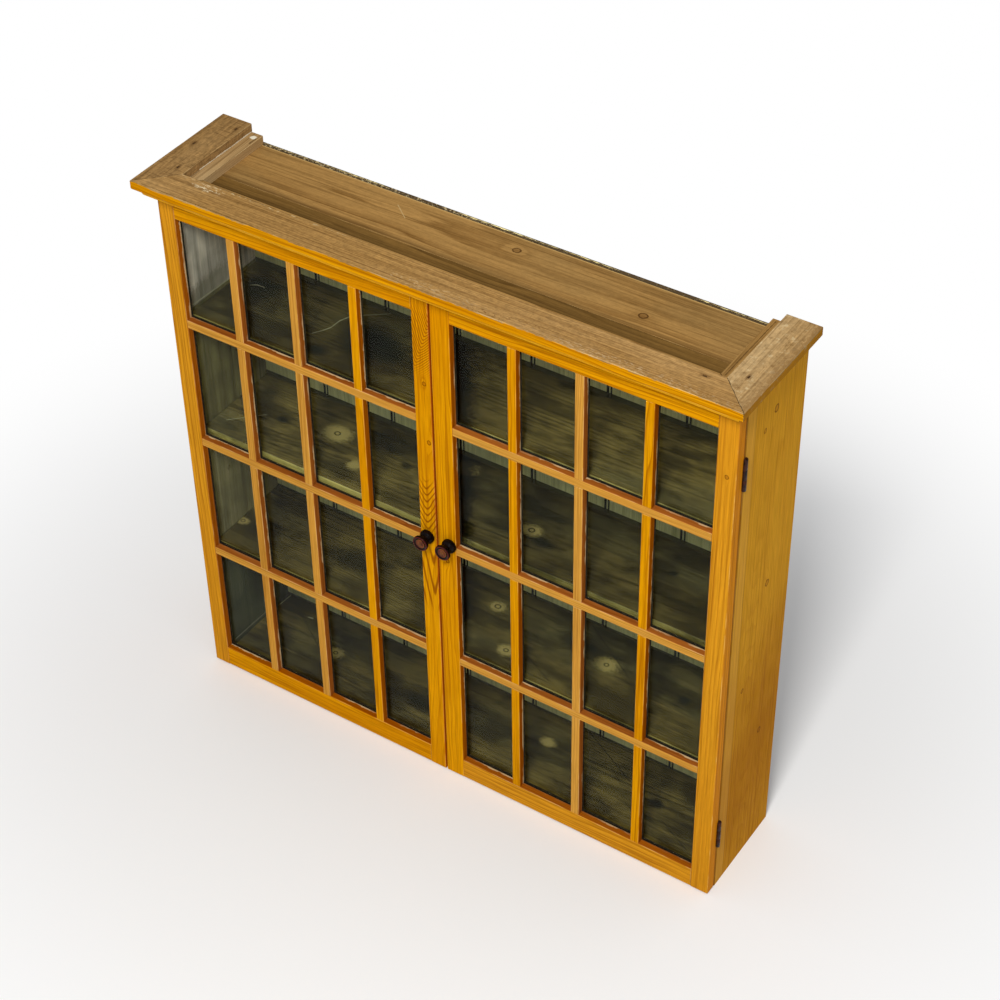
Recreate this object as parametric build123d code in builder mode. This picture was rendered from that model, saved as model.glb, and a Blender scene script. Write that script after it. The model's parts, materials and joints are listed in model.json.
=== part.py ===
from build123d import *
import os

# A glazed pine cabinet with two doors of sixteen panes each.
# Millimetres, +Z up. The doors face -Y and the back boards face +Y.
# The origin is on the underside of the case, at the middle of the whole outline.

# ---- driving dimensions: the case ----
CASE_WIDTH = 1040.0          # over the two side panels
CASE_DEPTH = 182.5           # front edge of a side panel to the outer face of the back
CASE_HEIGHT = 1024.0         # side panels, up to the underside of the cornice
SIDE_T = 20.0
TOP_T = 20.0
TOP_FRONT_W = 67.5           # the top is two boards: a narrow front one and a wide rear one
BOTTOM_T = 19.0
SHELF_T = 15.0
SHELF_ABOVE_BAR = {"lower": -4.0, "middle": 5.5, "upper": -4.0}   # upper face to the bar's upper edge
HOUSING = 6.0                # how deep the ends of the boards are let into a side panel
SHOULDER = 2.0               # each housed end is this much thinner, from its upper face
BACK_T = 9.0
BACK_REBATE = 8.0            # width of the rebate in a side panel that takes the back
BACK_COVER = 141.2           # width that each back board covers
TONGUE_T = 3.0
TONGUE_L = 6.0
TONGUE_GAP = 0.5             # room at the bottom of each groove
BEAD_R = 2.5                 # bead beside each tongue, on the inner face
BEAD_QUIRK = 1.5

# ---- driving dimensions: the cornice, a batten frame with a wider cap on it ----
BATTEN_T = 16.0
BATTEN_W = 68.0
BATTEN_REACH = 22.0          # how far the front batten stands past the doors' faces
BATTEN_OUT = 10.0            # how far a side batten stands past the side panel
BATTEN_LOWER_ROUND = 8.0
BATTEN_UPPER_ROUND = 0.6
CAP_T = 16.0
CAP_W = 58.5
CAP_REACH = 33.5
CAP_OUT = 21.5
CAP_LOWER_ROUND = 2.5
CAP_UPPER_ROUND = 1.5
CORNICE_SET_BACK = 6.0       # the returns stop this far short of the back

# ---- driving dimensions: the doors ----
DOOR_T = 22.0
DOOR_SEAT_GAP = 1.5          # between a closed door and the front edges of the case
DOOR_TOP_GAP = 3.0
DOOR_FLOOR_GAP = 3.0
MEETING_GAP = 3.0
LEFT_DOOR_W = 514.5
HINGE_STILE_W = {"left": 31.5, "right": 33.0}
MEETING_STILE_W = {"left": 31.0, "right": 35.0}
TOP_RAIL_W = 37.0
BOTTOM_RAIL_W = 42.0
BAR_W = 16.0
LOWER_PANE_H = 231.5         # the lower rows; the top row takes what is left
LOWER_ROWS = 3
COLUMNS = 4

# ---- driving dimensions: the section of every door member, and the glazing ----
EASE = 1.0                   # softened arrises of the face
GLASS_DEPTH = 12.0           # face of the door to the front of the glass
GLAZING_REBATE = 5.0
GLASS_T = 3.0
GLASS_EDGE_GAP = 1.0
PUTTY_T = 6.0
PUTTY_SIGHT = 1.2            # how far the putty shows past the wood, through the glass
PUTTY_BACK_W = 1.5
TENON_T = 6.0
TENON_SET_IN = 1.5           # behind the front of the rebate
RAIL_TENON_L = 14.0
RAIL_SHOULDER = 6.0
BAR_TENON_L = 8.0

# ---- driving dimensions: the butt hinges ----
HINGE_L = 59.0
LOWER_HINGE_FROM_END = 129.0   # middle of the hinge to the lower end of the door
UPPER_HINGE_FROM_END = 122.0   # middle of the hinge to the upper end of the door
LEAF_W = 17.0
LEAF_T = 1.5
KNUCKLES = 3
KNUCKLE_R = 3.75
KNUCKLE_OUT = 1.5            # pin axis outside the side panel's outer face
KNUCKLE_GAP = 0.3
KNUCKLE_CLEARANCE = 0.4
PIN_R = 1.75
PIN_CLEARANCE = 0.05

# ---- driving dimensions: the knobs ----
KNOB_ABOVE_BAR = 2.0         # axis above the upper edge of the middle bar
KNOB_FROM_EDGE = {"left": 16.0, "right": 23.5}   # to the meeting edge of the door
KNOB_ROSE_R = 13.0
KNOB_ROSE_L = 9.0
KNOB_NECK_R = 9.0
KNOB_FLARE_AT = 14.0         # where the neck begins to widen towards the face
KNOB_FACE_R = 14.0
KNOB_FACE_T = 5.0
KNOB_REACH = 25.0
KNOB_SPIGOT_R = 5.0
KNOB_SPIGOT_L = 16.0
INLAY_R = 8.5
INLAY_T = 2.0
FIT = 0.05                   # radial clearance of the spigots and inlays

# ---- driving dimensions: the catches ----
CATCH_W = 24.0
CATCH_D = 16.0
CATCH_H = 13.0
STRIKE_W = 16.0
STRIKE_H = 12.0
STRIKE_T = 1.2

# ---- planes worked out from them ----
HALF_W = CASE_WIDTH / 2
WALL_Y = (CASE_DEPTH + DOOR_SEAT_GAP + DOOR_T + CAP_REACH) / 2
BACK_Y = WALL_Y - BACK_T
FRONT_Y = WALL_Y - CASE_DEPTH
DOOR_BACK_Y = FRONT_Y - DOOR_SEAT_GAP
DOOR_FACE_Y = DOOR_BACK_Y - DOOR_T
GLASS_Y = DOOR_FACE_Y + GLASS_DEPTH
DOOR_BOTTOM_Z = DOOR_FLOOR_GAP
DOOR_TOP_Z = CASE_HEIGHT - DOOR_TOP_GAP
HINGE_Y = FRONT_Y - DOOR_SEAT_GAP / 2
HINGE_ZS = (DOOR_BOTTOM_Z + LOWER_HINGE_FROM_END, DOOR_TOP_Z - UPPER_HINGE_FROM_END)

# Edges of the panes, shared by the doors, the bars and the shelves behind the bars.
ROW_PITCH = LOWER_PANE_H + BAR_W
FIRST_ROW_Z = DOOR_BOTTOM_Z + BOTTOM_RAIL_W
ROWS = [(FIRST_ROW_Z + n * ROW_PITCH, FIRST_ROW_Z + n * ROW_PITCH + LOWER_PANE_H)
        for n in range(LOWER_ROWS)]
ROWS.append((ROWS[-1][1] + BAR_W, DOOR_TOP_Z - TOP_RAIL_W))
BAR_NAMES = ["lower", "middle", "upper"]
BAR_ZS = [high for low, high in ROWS[:-1]]
SHELF_TOPS = [z + BAR_W + SHELF_ABOVE_BAR[name] for name, z in zip(BAR_NAMES, BAR_ZS)]
KNOB_Z = BAR_ZS[1] + BAR_W + KNOB_ABOVE_BAR

DOOR_W = {"left": LEFT_DOOR_W, "right": CASE_WIDTH - MEETING_GAP - LEFT_DOOR_W}
OUT = {"left": -1, "right": 1}                # the way from the middle to a door's hinges

os.makedirs("parts", exist_ok=True)


def save(piece, node):
    """Label a finished piece and write it to its own file."""
    piece.part.label = node
    export_step(piece.part, f"parts/{node}.step")


def board(x, y, z, mode=Mode.ADD):
    """A square-edged board. Each argument is a pair of planes, in either order."""
    spans = [sorted(pair) for pair in (x, y, z)]
    with Locations(tuple(sum(span) / 2 for span in spans)):
        Box(*[high - low for low, high in spans], mode=mode)


def door_xs(hand):
    """Edges of a door in x: hinge edge, meeting edge, and the two sides of its glazed part."""
    hinge_edge = OUT[hand] * HALF_W
    meeting_edge = hinge_edge - OUT[hand] * DOOR_W[hand]
    inside_hinge = hinge_edge - OUT[hand] * HINGE_STILE_W[hand]
    inside_meeting = meeting_edge + OUT[hand] * MEETING_STILE_W[hand]
    return hinge_edge, meeting_edge, *sorted((inside_hinge, inside_meeting))


def knuckle_room(hand):
    """Scallops that clear the knuckles of one side's hinges."""
    length = HINGE_L + 2 * KNUCKLE_CLEARANCE
    for z in HINGE_ZS:
        with Locations((OUT[hand] * (HALF_W + KNUCKLE_OUT), HINGE_Y, z)):
            Cylinder(KNUCKLE_R + KNUCKLE_CLEARANCE, length, mode=Mode.SUBTRACT)


def leaf_beds(hand, face_y, into):
    """Beds that let one side's leaves in flush with a face. into is +1 or -1 along y."""
    for z in HINGE_ZS:
        board((OUT[hand] * HALF_W, OUT[hand] * (HALF_W - LEAF_W)), (face_y, face_y + into * LEAF_T),
              (z - HINGE_L / 2, z + HINGE_L / 2), mode=Mode.SUBTRACT)


# ---- the case ----

def side_panel(hand):
    """Side panel with housings for the boards and a rebate for the back."""
    inner_x = OUT[hand] * (HALF_W - SIDE_T)
    housing_x = inner_x + OUT[hand] * HOUSING
    housings = [(z - SHELF_T, z - SHOULDER) for z in SHELF_TOPS]
    housings += [(0, BOTTOM_T - SHOULDER), (CASE_HEIGHT - TOP_T, CASE_HEIGHT - SHOULDER)]
    with BuildPart() as side:
        board((OUT[hand] * HALF_W, inner_x), (FRONT_Y, WALL_Y), (0, CASE_HEIGHT))
        outer_arrises = side.edges().filter_by(Axis.Z).sort_by(Axis.X)
        chamfer(outer_arrises[-2:] if OUT[hand] > 0 else outer_arrises[:2], EASE)
        for span in housings:
            board((inner_x, housing_x), (FRONT_Y, BACK_Y), span, mode=Mode.SUBTRACT)
        board((inner_x, inner_x + OUT[hand] * BACK_REBATE), (BACK_Y, WALL_Y), (0, CASE_HEIGHT),
              mode=Mode.SUBTRACT)
        leaf_beds(hand, FRONT_Y, 1)
        knuckle_room(hand)
    save(side, f"side_{hand}")


def housed_board(node, y, z):
    """A board across the case. Its ends are shouldered and let into both side panels."""
    shoulder_x = HALF_W - SIDE_T
    with BuildPart() as level:
        board((-shoulder_x, shoulder_x), y, z)
        chamfer(level.edges().filter_by(Axis.X).group_by(Axis.Y)[0], EASE / 2)
        for way in (-1, 1):
            board((way * shoulder_x, way * (shoulder_x + HOUSING)), y, (z[0], z[1] - SHOULDER))
    save(level, node)


def back_section(left, right, first, last):
    """Section of one back board: a groove at its left edge, a bead and a tongue at its right."""
    middle_y = BACK_Y + BACK_T / 2
    with Locations(((left + right) / 2, middle_y)):
        Rectangle(right - left, BACK_T)
    if not first:
        with Locations((left + TONGUE_L / 2, middle_y)):
            Rectangle(TONGUE_L, TONGUE_T, mode=Mode.SUBTRACT)
    if not last:
        bead_w = 2 * BEAD_R + BEAD_QUIRK
        with Locations((right - bead_w / 2, BACK_Y + BEAD_R / 2)):
            Rectangle(bead_w, BEAD_R, mode=Mode.SUBTRACT)
        with Locations((right - BEAD_R, BACK_Y + BEAD_R)):
            Circle(BEAD_R)
        with Locations((right + (TONGUE_L - TONGUE_GAP) / 2, middle_y)):
            Rectangle(TONGUE_L - TONGUE_GAP, TONGUE_T)


def back_boards():
    """The tongued and grooved back: boards of one width, closed by a narrow one."""
    left = -(HALF_W - SIDE_T + BACK_REBATE)
    end = -left
    number = 1
    while left < end:
        last = left + BACK_COVER + 2 * TONGUE_L > end
        right = end if last else left + BACK_COVER
        with BuildPart() as back_board:
            with BuildSketch(Plane.XY):
                back_section(left, right, number == 1, last)
            extrude(amount=CASE_HEIGHT)
        save(back_board, f"back_board_{number}")
        left = right
        number += 1


# ---- the cornice ----

def strip_section(width, thickness, lower_round, upper_round):
    """Section of a cornice strip, with its outer edge at the sketch's origin."""
    with BuildSketch(mode=Mode.PRIVATE) as section:
        Rectangle(width, thickness, align=(Align.MIN, Align.MIN))
        outer = section.vertices().group_by(Axis.X)[0].sort_by(Axis.Y)
        fillet(outer[0], lower_round)
        outer = section.vertices().group_by(Axis.Y)[-1].sort_by(Axis.X)
        fillet(outer[0], upper_round)
    return section.sketch


def cornice_layer(node, z, thickness, width, reach, out, rounds):
    """One layer of the cornice: a front strip and two returns, mitred where they meet."""
    corner_x = HALF_W + out
    front_y = DOOR_FACE_Y - reach
    back_y = WALL_Y - CORNICE_SET_BACK
    section = strip_section(width, thickness, *rounds)
    right_mitre = Plane(origin=(corner_x, front_y, z), z_dir=(1, 1, 0))
    left_mitre = Plane(origin=(-corner_x, front_y, z), z_dir=(-1, 1, 0))

    with BuildPart() as front:
        with BuildSketch(Plane(origin=(0, front_y, z), x_dir=(0, 1, 0), z_dir=(1, 0, 0))):
            add(section)
        extrude(amount=corner_x, both=True)
        split(bisect_by=right_mitre, keep=Keep.BOTTOM)
        split(bisect_by=left_mitre, keep=Keep.BOTTOM)
    save(front, f"{node}_front")

    with BuildPart() as right:
        with BuildSketch(Plane(origin=(corner_x, front_y, z), x_dir=(-1, 0, 0), z_dir=(0, 1, 0))):
            add(section)
        extrude(amount=back_y - front_y)
        split(bisect_by=right_mitre, keep=Keep.TOP)
    save(right, f"{node}_right")

    with BuildPart() as left:
        with BuildSketch(Plane(origin=(-corner_x, back_y, z), x_dir=(1, 0, 0), z_dir=(0, -1, 0))):
            add(section)
        extrude(amount=back_y - front_y)
        split(bisect_by=left_mitre, keep=Keep.TOP)
    save(left, f"{node}_left")


# ---- the doors ----

def member_outline(width, both_edges):
    """Outline of a door member's section: x runs across its face, y into the door."""
    glass_edge = [(width - EASE, 0), (width, EASE), (width, GLASS_DEPTH),
                  (width - GLAZING_REBATE, GLASS_DEPTH), (width - GLAZING_REBATE, DOOR_T)]
    if both_edges:
        other_edge = [(width - x, y) for x, y in reversed(glass_edge)]
    else:
        other_edge = [(0, DOOR_T), (0, EASE), (EASE, 0)]
    return glass_edge + other_edge


def member(plane, width, length, both_edges=False, scribed=True):
    """A moulded length along the plane's normal. Its ends are scribed over what they meet."""
    lap = GLAZING_REBATE if scribed else 0
    with BuildSketch(plane.offset(-lap)) as section:
        with BuildLine():
            Polyline(*member_outline(width, both_edges), close=True)
        make_face()
    extrude(section.sketch, amount=length + 2 * lap)
    for end in (-lap, length) if scribed else ():
        with BuildSketch(plane.offset(end)) as face_part:
            Rectangle(width, GLASS_DEPTH, align=(Align.MIN, Align.MIN))
        extrude(face_part.sketch, amount=lap, mode=Mode.SUBTRACT)


def tenons(hand, z, length, mode):
    """The tenons at both ends of a rail or bar, or the mortises for them."""
    hinge_edge, meeting_edge, left, right = door_xs(hand)
    front = GLASS_Y + TENON_SET_IN
    for root, way in ((left - GLAZING_REBATE, -1), (right + GLAZING_REBATE, 1)):
        board((root, root + way * length), (front, front + TENON_T), z, mode=mode)


def rail_tenon_zs():
    """Heights of the bottom and top rails' tenons."""
    bottom = (DOOR_BOTTOM_Z + RAIL_SHOULDER, ROWS[0][0] - GLAZING_REBATE)
    top = (ROWS[-1][1] + GLAZING_REBATE, DOOR_TOP_Z - RAIL_SHOULDER)
    return bottom, top


def mortises(hand):
    """All the mortises of a door's two stiles."""
    for span in rail_tenon_zs():
        tenons(hand, span, RAIL_TENON_L, Mode.SUBTRACT)
    for z in BAR_ZS:
        tenons(hand, (z + GLAZING_REBATE, z + BAR_W - GLAZING_REBATE), BAR_TENON_L, Mode.SUBTRACT)


def stile_plane(edge, inward):
    """Plane of a stile's section. Its x runs from the door's edge towards the glass."""
    if inward > 0:
        return Plane(origin=(edge, DOOR_FACE_Y, DOOR_BOTTOM_Z), x_dir=(1, 0, 0), z_dir=(0, 0, 1))
    return Plane(origin=(edge, DOOR_FACE_Y, DOOR_TOP_Z), x_dir=(-1, 0, 0), z_dir=(0, 0, -1))


def stiles(hand):
    """Hinge stile with its hinge beds, and meeting stile with the hole for its knob."""
    hinge_edge, meeting_edge, left, right = door_xs(hand)
    height = DOOR_TOP_Z - DOOR_BOTTOM_Z
    with BuildPart() as hinge_stile:
        member(stile_plane(hinge_edge, -OUT[hand]), HINGE_STILE_W[hand], height, scribed=False)
        mortises(hand)
        leaf_beds(hand, DOOR_BACK_Y, -1)
        knuckle_room(hand)
    save(hinge_stile, f"hinge_stile_{hand}")

    with BuildPart() as meeting_stile:
        member(stile_plane(meeting_edge, OUT[hand]), MEETING_STILE_W[hand], height, scribed=False)
        mortises(hand)
        with Locations(knob_plane(hand)):
            Hole(KNOB_SPIGOT_R + FIT, depth=KNOB_SPIGOT_L)
    save(meeting_stile, f"meeting_stile_{hand}")


def rails(hand):
    """Top and bottom rails, tenoned into the stiles."""
    hinge_edge, meeting_edge, left, right = door_xs(hand)
    bottom_zs, top_zs = rail_tenon_zs()
    with BuildPart() as bottom_rail:
        plane = Plane(origin=(right, DOOR_FACE_Y, DOOR_BOTTOM_Z), x_dir=(0, 0, 1), z_dir=(-1, 0, 0))
        member(plane, BOTTOM_RAIL_W, right - left)
        tenons(hand, bottom_zs, RAIL_TENON_L, Mode.ADD)
    save(bottom_rail, f"bottom_rail_{hand}")

    with BuildPart() as top_rail:
        plane = Plane(origin=(left, DOOR_FACE_Y, DOOR_TOP_Z), x_dir=(0, 0, -1), z_dir=(1, 0, 0))
        member(plane, TOP_RAIL_W, right - left)
        tenons(hand, top_zs, RAIL_TENON_L, Mode.ADD)
    save(top_rail, f"top_rail_{hand}")


def columns(hand):
    """Left and right edges of each column of panes."""
    hinge_edge, meeting_edge, left, right = door_xs(hand)
    pane_w = (right - left - (COLUMNS - 1) * BAR_W) / COLUMNS
    return [(left + n * (pane_w + BAR_W), left + n * (pane_w + BAR_W) + pane_w) for n in range(COLUMNS)]


def bars(hand):
    """Three bars right across the door, and short uprights between them."""
    hinge_edge, meeting_edge, left, right = door_xs(hand)
    for name, z in zip(BAR_NAMES, BAR_ZS):
        with BuildPart() as bar:
            plane = Plane(origin=(right, DOOR_FACE_Y, z), x_dir=(0, 0, 1), z_dir=(-1, 0, 0))
            member(plane, BAR_W, right - left, both_edges=True)
            tenons(hand, (z + GLAZING_REBATE, z + BAR_W - GLAZING_REBATE), BAR_TENON_L, Mode.ADD)
        save(bar, f"bar_{name}_{hand}")

    with BuildPart() as uprights:
        for pane_left, pane_right in columns(hand)[:-1]:
            for low, high in ROWS:
                plane = Plane(origin=(pane_right, DOOR_FACE_Y, low), x_dir=(1, 0, 0), z_dir=(0, 0, 1))
                member(plane, BAR_W, high - low, both_edges=True)
    save(uprights, f"upright_bars_{hand}")


def panes(node, hand, rows):
    """Sheets of glass lying in the rebates of some rows."""
    grow = GLAZING_REBATE - GLASS_EDGE_GAP
    with BuildPart() as glass:
        for left, right in columns(hand):
            for low, high in rows:
                board((left - grow, right + grow), (GLASS_Y, GLASS_Y + GLASS_T), (low - grow, high + grow))
    save(glass, node)


def putty(hand):
    """A fillet of putty all round the back of each pane."""
    with BuildPart() as beads:
        for left, right in columns(hand):
            for low, high in ROWS:
                middle = ((left + right) / 2, GLASS_Y + GLASS_T, (low + high) / 2)
                width, height = right - left, high - low
                plane = Plane(origin=middle, x_dir=(1, 0, 0), z_dir=(0, 1, 0))
                with BuildSketch(plane):
                    Rectangle(width + 2 * GLAZING_REBATE, height + 2 * GLAZING_REBATE)
                extrude(amount=PUTTY_T)
                back_grow = 2 * (GLAZING_REBATE - PUTTY_BACK_W)
                with BuildSketch(plane):
                    Rectangle(width - 2 * PUTTY_SIGHT, height - 2 * PUTTY_SIGHT)
                with BuildSketch(plane.offset(PUTTY_T)):
                    Rectangle(width + back_grow, height + back_grow)
                loft(mode=Mode.SUBTRACT)
    save(beads, f"putty_{hand}")


# ---- the hinges ----

def knuckle_spans(z):
    """Lower and upper plane of each knuckle of a hinge whose middle is at z."""
    length = (HINGE_L - (KNUCKLES - 1) * KNUCKLE_GAP) / KNUCKLES
    lows = [z - HINGE_L / 2 + n * (length + KNUCKLE_GAP) for n in range(KNUCKLES)]
    return [(low, low + length) for low in lows]


def barrel(hand, low, high, radius, mode=Mode.ADD):
    """A cylinder on a hinge's axis."""
    with Locations((OUT[hand] * (HALF_W + KNUCKLE_OUT), HINGE_Y, (low + high) / 2)):
        Cylinder(radius, high - low, mode=mode)


def leaves(node, hand, seat_y, into, first_knuckle):
    """The leaves bedded in one face at seat_y, each with every other knuckle of its hinge.

    The leaves with the first knuckles hold the pins. The others turn on them."""
    axis_x, free_x = OUT[hand] * (HALF_W + KNUCKLE_OUT), OUT[hand] * (HALF_W - LEAF_W)
    with BuildPart() as pair:
        for z in HINGE_ZS:
            low, high = z - HINGE_L / 2, z + HINGE_L / 2
            spans = knuckle_spans(z)
            board((free_x, axis_x), (seat_y, seat_y + into * LEAF_T), (low, high))
            for gap_low, gap_high in spans[1 - first_knuckle::2]:
                board((axis_x - OUT[hand] * (KNUCKLE_R + KNUCKLE_CLEARANCE), axis_x + OUT[hand]),
                      (seat_y, seat_y + into * LEAF_T),
                      (gap_low - KNUCKLE_GAP, gap_high + KNUCKLE_GAP), Mode.SUBTRACT)
            for span in spans[first_knuckle::2]:
                barrel(hand, *span, KNUCKLE_R)
            if first_knuckle == 0:
                barrel(hand, low, high, PIN_R)
            else:
                barrel(hand, low, high, PIN_R + PIN_CLEARANCE, Mode.SUBTRACT)
    save(pair, node)


def hinges(hand):
    """Both hinges of a door: the leaves and pins on the case, and the leaves on the door."""
    leaves(f"hinge_case_leaves_{hand}", hand, FRONT_Y, 1, 0)
    leaves(f"hinge_door_leaves_{hand}", hand, DOOR_BACK_Y, -1, 1)


# ---- the knobs ----

def knob_plane(hand):
    """On the face of a meeting stile, at its knob, with its normal towards the user."""
    x = door_xs(hand)[1] + OUT[hand] * KNOB_FROM_EDGE[hand]
    return Plane(origin=(x, DOOR_FACE_Y, KNOB_Z), x_dir=(1, 0, 0), z_dir=(0, -1, 0))


def turning_plane(hand):
    """Plane through a knob's axis: x is the radius, y the distance from the stile."""
    return Plane(origin=knob_plane(hand).origin, x_dir=(1, 0, 0), z_dir=(0, 0, -1))


def knob(hand):
    """Turned knob with a rose, a waist, and a rimmed face let in for an inlay."""
    bed = KNOB_REACH - INLAY_T
    rim = KNOB_REACH - KNOB_FACE_T
    with BuildPart() as turned:
        with BuildSketch(turning_plane(hand)):
            with BuildLine():
                Line((0, -KNOB_SPIGOT_L), (KNOB_SPIGOT_R, -KNOB_SPIGOT_L))
                Line((KNOB_SPIGOT_R, -KNOB_SPIGOT_L), (KNOB_SPIGOT_R, 0))
                Line((KNOB_SPIGOT_R, 0), (KNOB_ROSE_R, 0))
                Line((KNOB_ROSE_R, 0), (KNOB_ROSE_R, KNOB_ROSE_L))
                Line((KNOB_ROSE_R, KNOB_ROSE_L), (KNOB_NECK_R, KNOB_ROSE_L))
                Line((KNOB_NECK_R, KNOB_ROSE_L), (KNOB_NECK_R, KNOB_FLARE_AT))
                Line((KNOB_NECK_R, KNOB_FLARE_AT), (KNOB_FACE_R, rim))
                Line((KNOB_FACE_R, rim), (KNOB_FACE_R, KNOB_REACH))
                Line((KNOB_FACE_R, KNOB_REACH), (INLAY_R + FIT, KNOB_REACH))
                Line((INLAY_R + FIT, KNOB_REACH), (INLAY_R + FIT, bed))
                Line((INLAY_R + FIT, bed), (0, bed))
                Line((0, bed), (0, -KNOB_SPIGOT_L))
            make_face()
        revolve(axis=Axis(knob_plane(hand).origin, (0, -1, 0)))
    save(turned, f"knob_{hand}")

    with BuildPart() as inlay:
        with BuildSketch(knob_plane(hand).offset(bed)):
            Circle(INLAY_R)
        extrude(amount=INLAY_T)
    save(inlay, f"knob_inlay_{hand}")


# ---- the catches ----

def catch(hand):
    """Magnetic catch under the top, and its plate on the back of the meeting stile."""
    hinge_edge, meeting_edge, left, right = door_xs(hand)
    x = meeting_edge + OUT[hand] * (MEETING_STILE_W[hand] - GLAZING_REBATE) / 2
    top_z = CASE_HEIGHT - TOP_T
    with BuildPart() as magnet:
        board((x - CATCH_W / 2, x + CATCH_W / 2), (FRONT_Y, FRONT_Y + CATCH_D), (top_z - CATCH_H, top_z))
        chamfer(magnet.edges().filter_by(Axis.Z), EASE)
    save(magnet, f"catch_{hand}")

    with BuildPart() as plate:
        z = top_z - CATCH_H / 2
        board((x - STRIKE_W / 2, x + STRIKE_W / 2), (DOOR_BACK_Y, DOOR_BACK_Y + STRIKE_T),
              (z - STRIKE_H / 2, z + STRIKE_H / 2))
        chamfer(plate.edges().filter_by(Axis.Y), EASE)
    save(plate, f"strike_plate_{hand}")


# ---- everything together ----

housed_board("bottom_board", (FRONT_Y, BACK_Y), (0, BOTTOM_T))
housed_board("top_board_front", (FRONT_Y, FRONT_Y + TOP_FRONT_W), (CASE_HEIGHT - TOP_T, CASE_HEIGHT))
housed_board("top_board_back", (FRONT_Y + TOP_FRONT_W, BACK_Y), (CASE_HEIGHT - TOP_T, CASE_HEIGHT))
for shelf_name, shelf_z in zip(BAR_NAMES, SHELF_TOPS):
    housed_board(f"shelf_{shelf_name}", (FRONT_Y, BACK_Y), (shelf_z - SHELF_T, shelf_z))
back_boards()
cornice_layer("batten", CASE_HEIGHT, BATTEN_T, BATTEN_W, BATTEN_REACH, BATTEN_OUT,
              (BATTEN_LOWER_ROUND, BATTEN_UPPER_ROUND))
cornice_layer("cap", CASE_HEIGHT + BATTEN_T, CAP_T, CAP_W, CAP_REACH, CAP_OUT,
              (CAP_LOWER_ROUND, CAP_UPPER_ROUND))
for door in OUT:
    side_panel(door)
    stiles(door)
    rails(door)
    bars(door)
    panes(f"glass_tall_{door}", door, ROWS[:-1])
    panes(f"glass_top_{door}", door, ROWS[-1:])
    putty(door)
    hinges(door)
    knob(door)
    catch(door)
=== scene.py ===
# %% [markdown]
# # A glazed pine wall cabinet
#
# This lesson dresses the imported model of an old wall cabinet: a shallow pine case with three shelves, two glazed
# doors and a worn cornice. The cabinet stands on z = 0 and its doors face -Y.

# %% Load the cabinet
import json
import math
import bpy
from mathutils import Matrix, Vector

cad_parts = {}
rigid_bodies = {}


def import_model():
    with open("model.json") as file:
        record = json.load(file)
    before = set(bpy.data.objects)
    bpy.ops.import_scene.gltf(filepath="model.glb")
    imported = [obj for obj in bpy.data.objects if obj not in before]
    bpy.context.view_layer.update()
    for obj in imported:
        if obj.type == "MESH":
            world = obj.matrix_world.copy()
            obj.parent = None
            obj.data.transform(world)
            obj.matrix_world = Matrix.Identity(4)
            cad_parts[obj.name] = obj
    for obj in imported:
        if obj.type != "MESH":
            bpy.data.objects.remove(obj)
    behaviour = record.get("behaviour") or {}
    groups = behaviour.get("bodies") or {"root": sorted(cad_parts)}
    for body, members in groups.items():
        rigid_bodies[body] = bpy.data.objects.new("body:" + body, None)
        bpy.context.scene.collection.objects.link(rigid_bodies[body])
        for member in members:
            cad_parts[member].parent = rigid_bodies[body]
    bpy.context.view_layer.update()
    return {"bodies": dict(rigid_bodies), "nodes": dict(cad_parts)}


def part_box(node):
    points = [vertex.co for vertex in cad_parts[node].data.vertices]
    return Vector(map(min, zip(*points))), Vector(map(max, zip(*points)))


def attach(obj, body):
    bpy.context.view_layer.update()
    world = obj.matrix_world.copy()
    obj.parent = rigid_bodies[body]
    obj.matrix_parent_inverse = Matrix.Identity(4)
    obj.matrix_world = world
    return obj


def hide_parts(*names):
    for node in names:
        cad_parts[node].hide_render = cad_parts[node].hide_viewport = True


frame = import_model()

import zlib
from functools import partial

import bpy
from mathutils import Vector

# %% [markdown]
# ## The camera
#
# A cabinet is looked down on from the right front corner, from a little over four metres away, with a lens of about
# 84 mm, so its upright edges lean together only slightly. The camera could be aimed with a tracking constraint, but
# a plain turn about the three axes is easier to read and to repeat.

# %% Camera
bpy.ops.object.select_all(action="DESELECT")
bpy.ops.object.camera_add(location=(1.6327295, -2.3392983, 3.0214888),
                          rotation=(0.85944367, 0.01297711, 0.58056171))
camera = bpy.context.object
camera.name = "camera"
camera.data.sensor_width = 36.0
camera.data.lens = 83.506
bpy.context.scene.camera = camera
print("camera", [round(v, 3) for v in camera.location], "lens", camera.data.lens)

# %% [markdown]
# ## Nodes in few words
#
# Every finish here is a tree of shader nodes. One small helper begins a finish, and the others add their nodes to the
# one that was begun last: any node at all, arithmetic, a change of range, a mixed colour or noise. Colours are written
# as the 0 to 255 numbers a paint chart gives, and a helper turns them into the linear values that the renderer works
# with.

# %% Node helpers
def colour(red, green, blue):
    """A paint chart colour as the renderer's linear one."""
    def linear(part):
        part /= 255
        return part / 12.92 if part <= 0.04045 else ((part + 0.055) / 1.055) ** 2.4
    return (linear(red), linear(green), linear(blue), 1.0)


def new_finish(name):
    """Begins a material, to which put then adds its nodes. Returns it and its main shader."""
    global tree
    finish = bpy.data.materials.new(name)
    finish.use_nodes = True
    tree = finish.node_tree
    return finish, tree.nodes["Principled BSDF"]


def fill(node, inputs):
    """Fills inputs of a node, each with a plain value or another node's output."""
    for key, value in dict(inputs).items():
        if isinstance(value, bpy.types.NodeSocket):
            tree.links.new(value, node.inputs[key])
        else:
            node.inputs[key].default_value = value


def metres(millimetres):
    return tuple(part / 1000 for part in millimetres)


def put(kind, inputs=(), **settings):
    """Adds a node to the finish begun last, with its settings and inputs."""
    made = tree.nodes.new("ShaderNode" + kind)
    for key, value in settings.items():
        setattr(made, key, value)
    fill(made, inputs)
    return made


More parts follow.
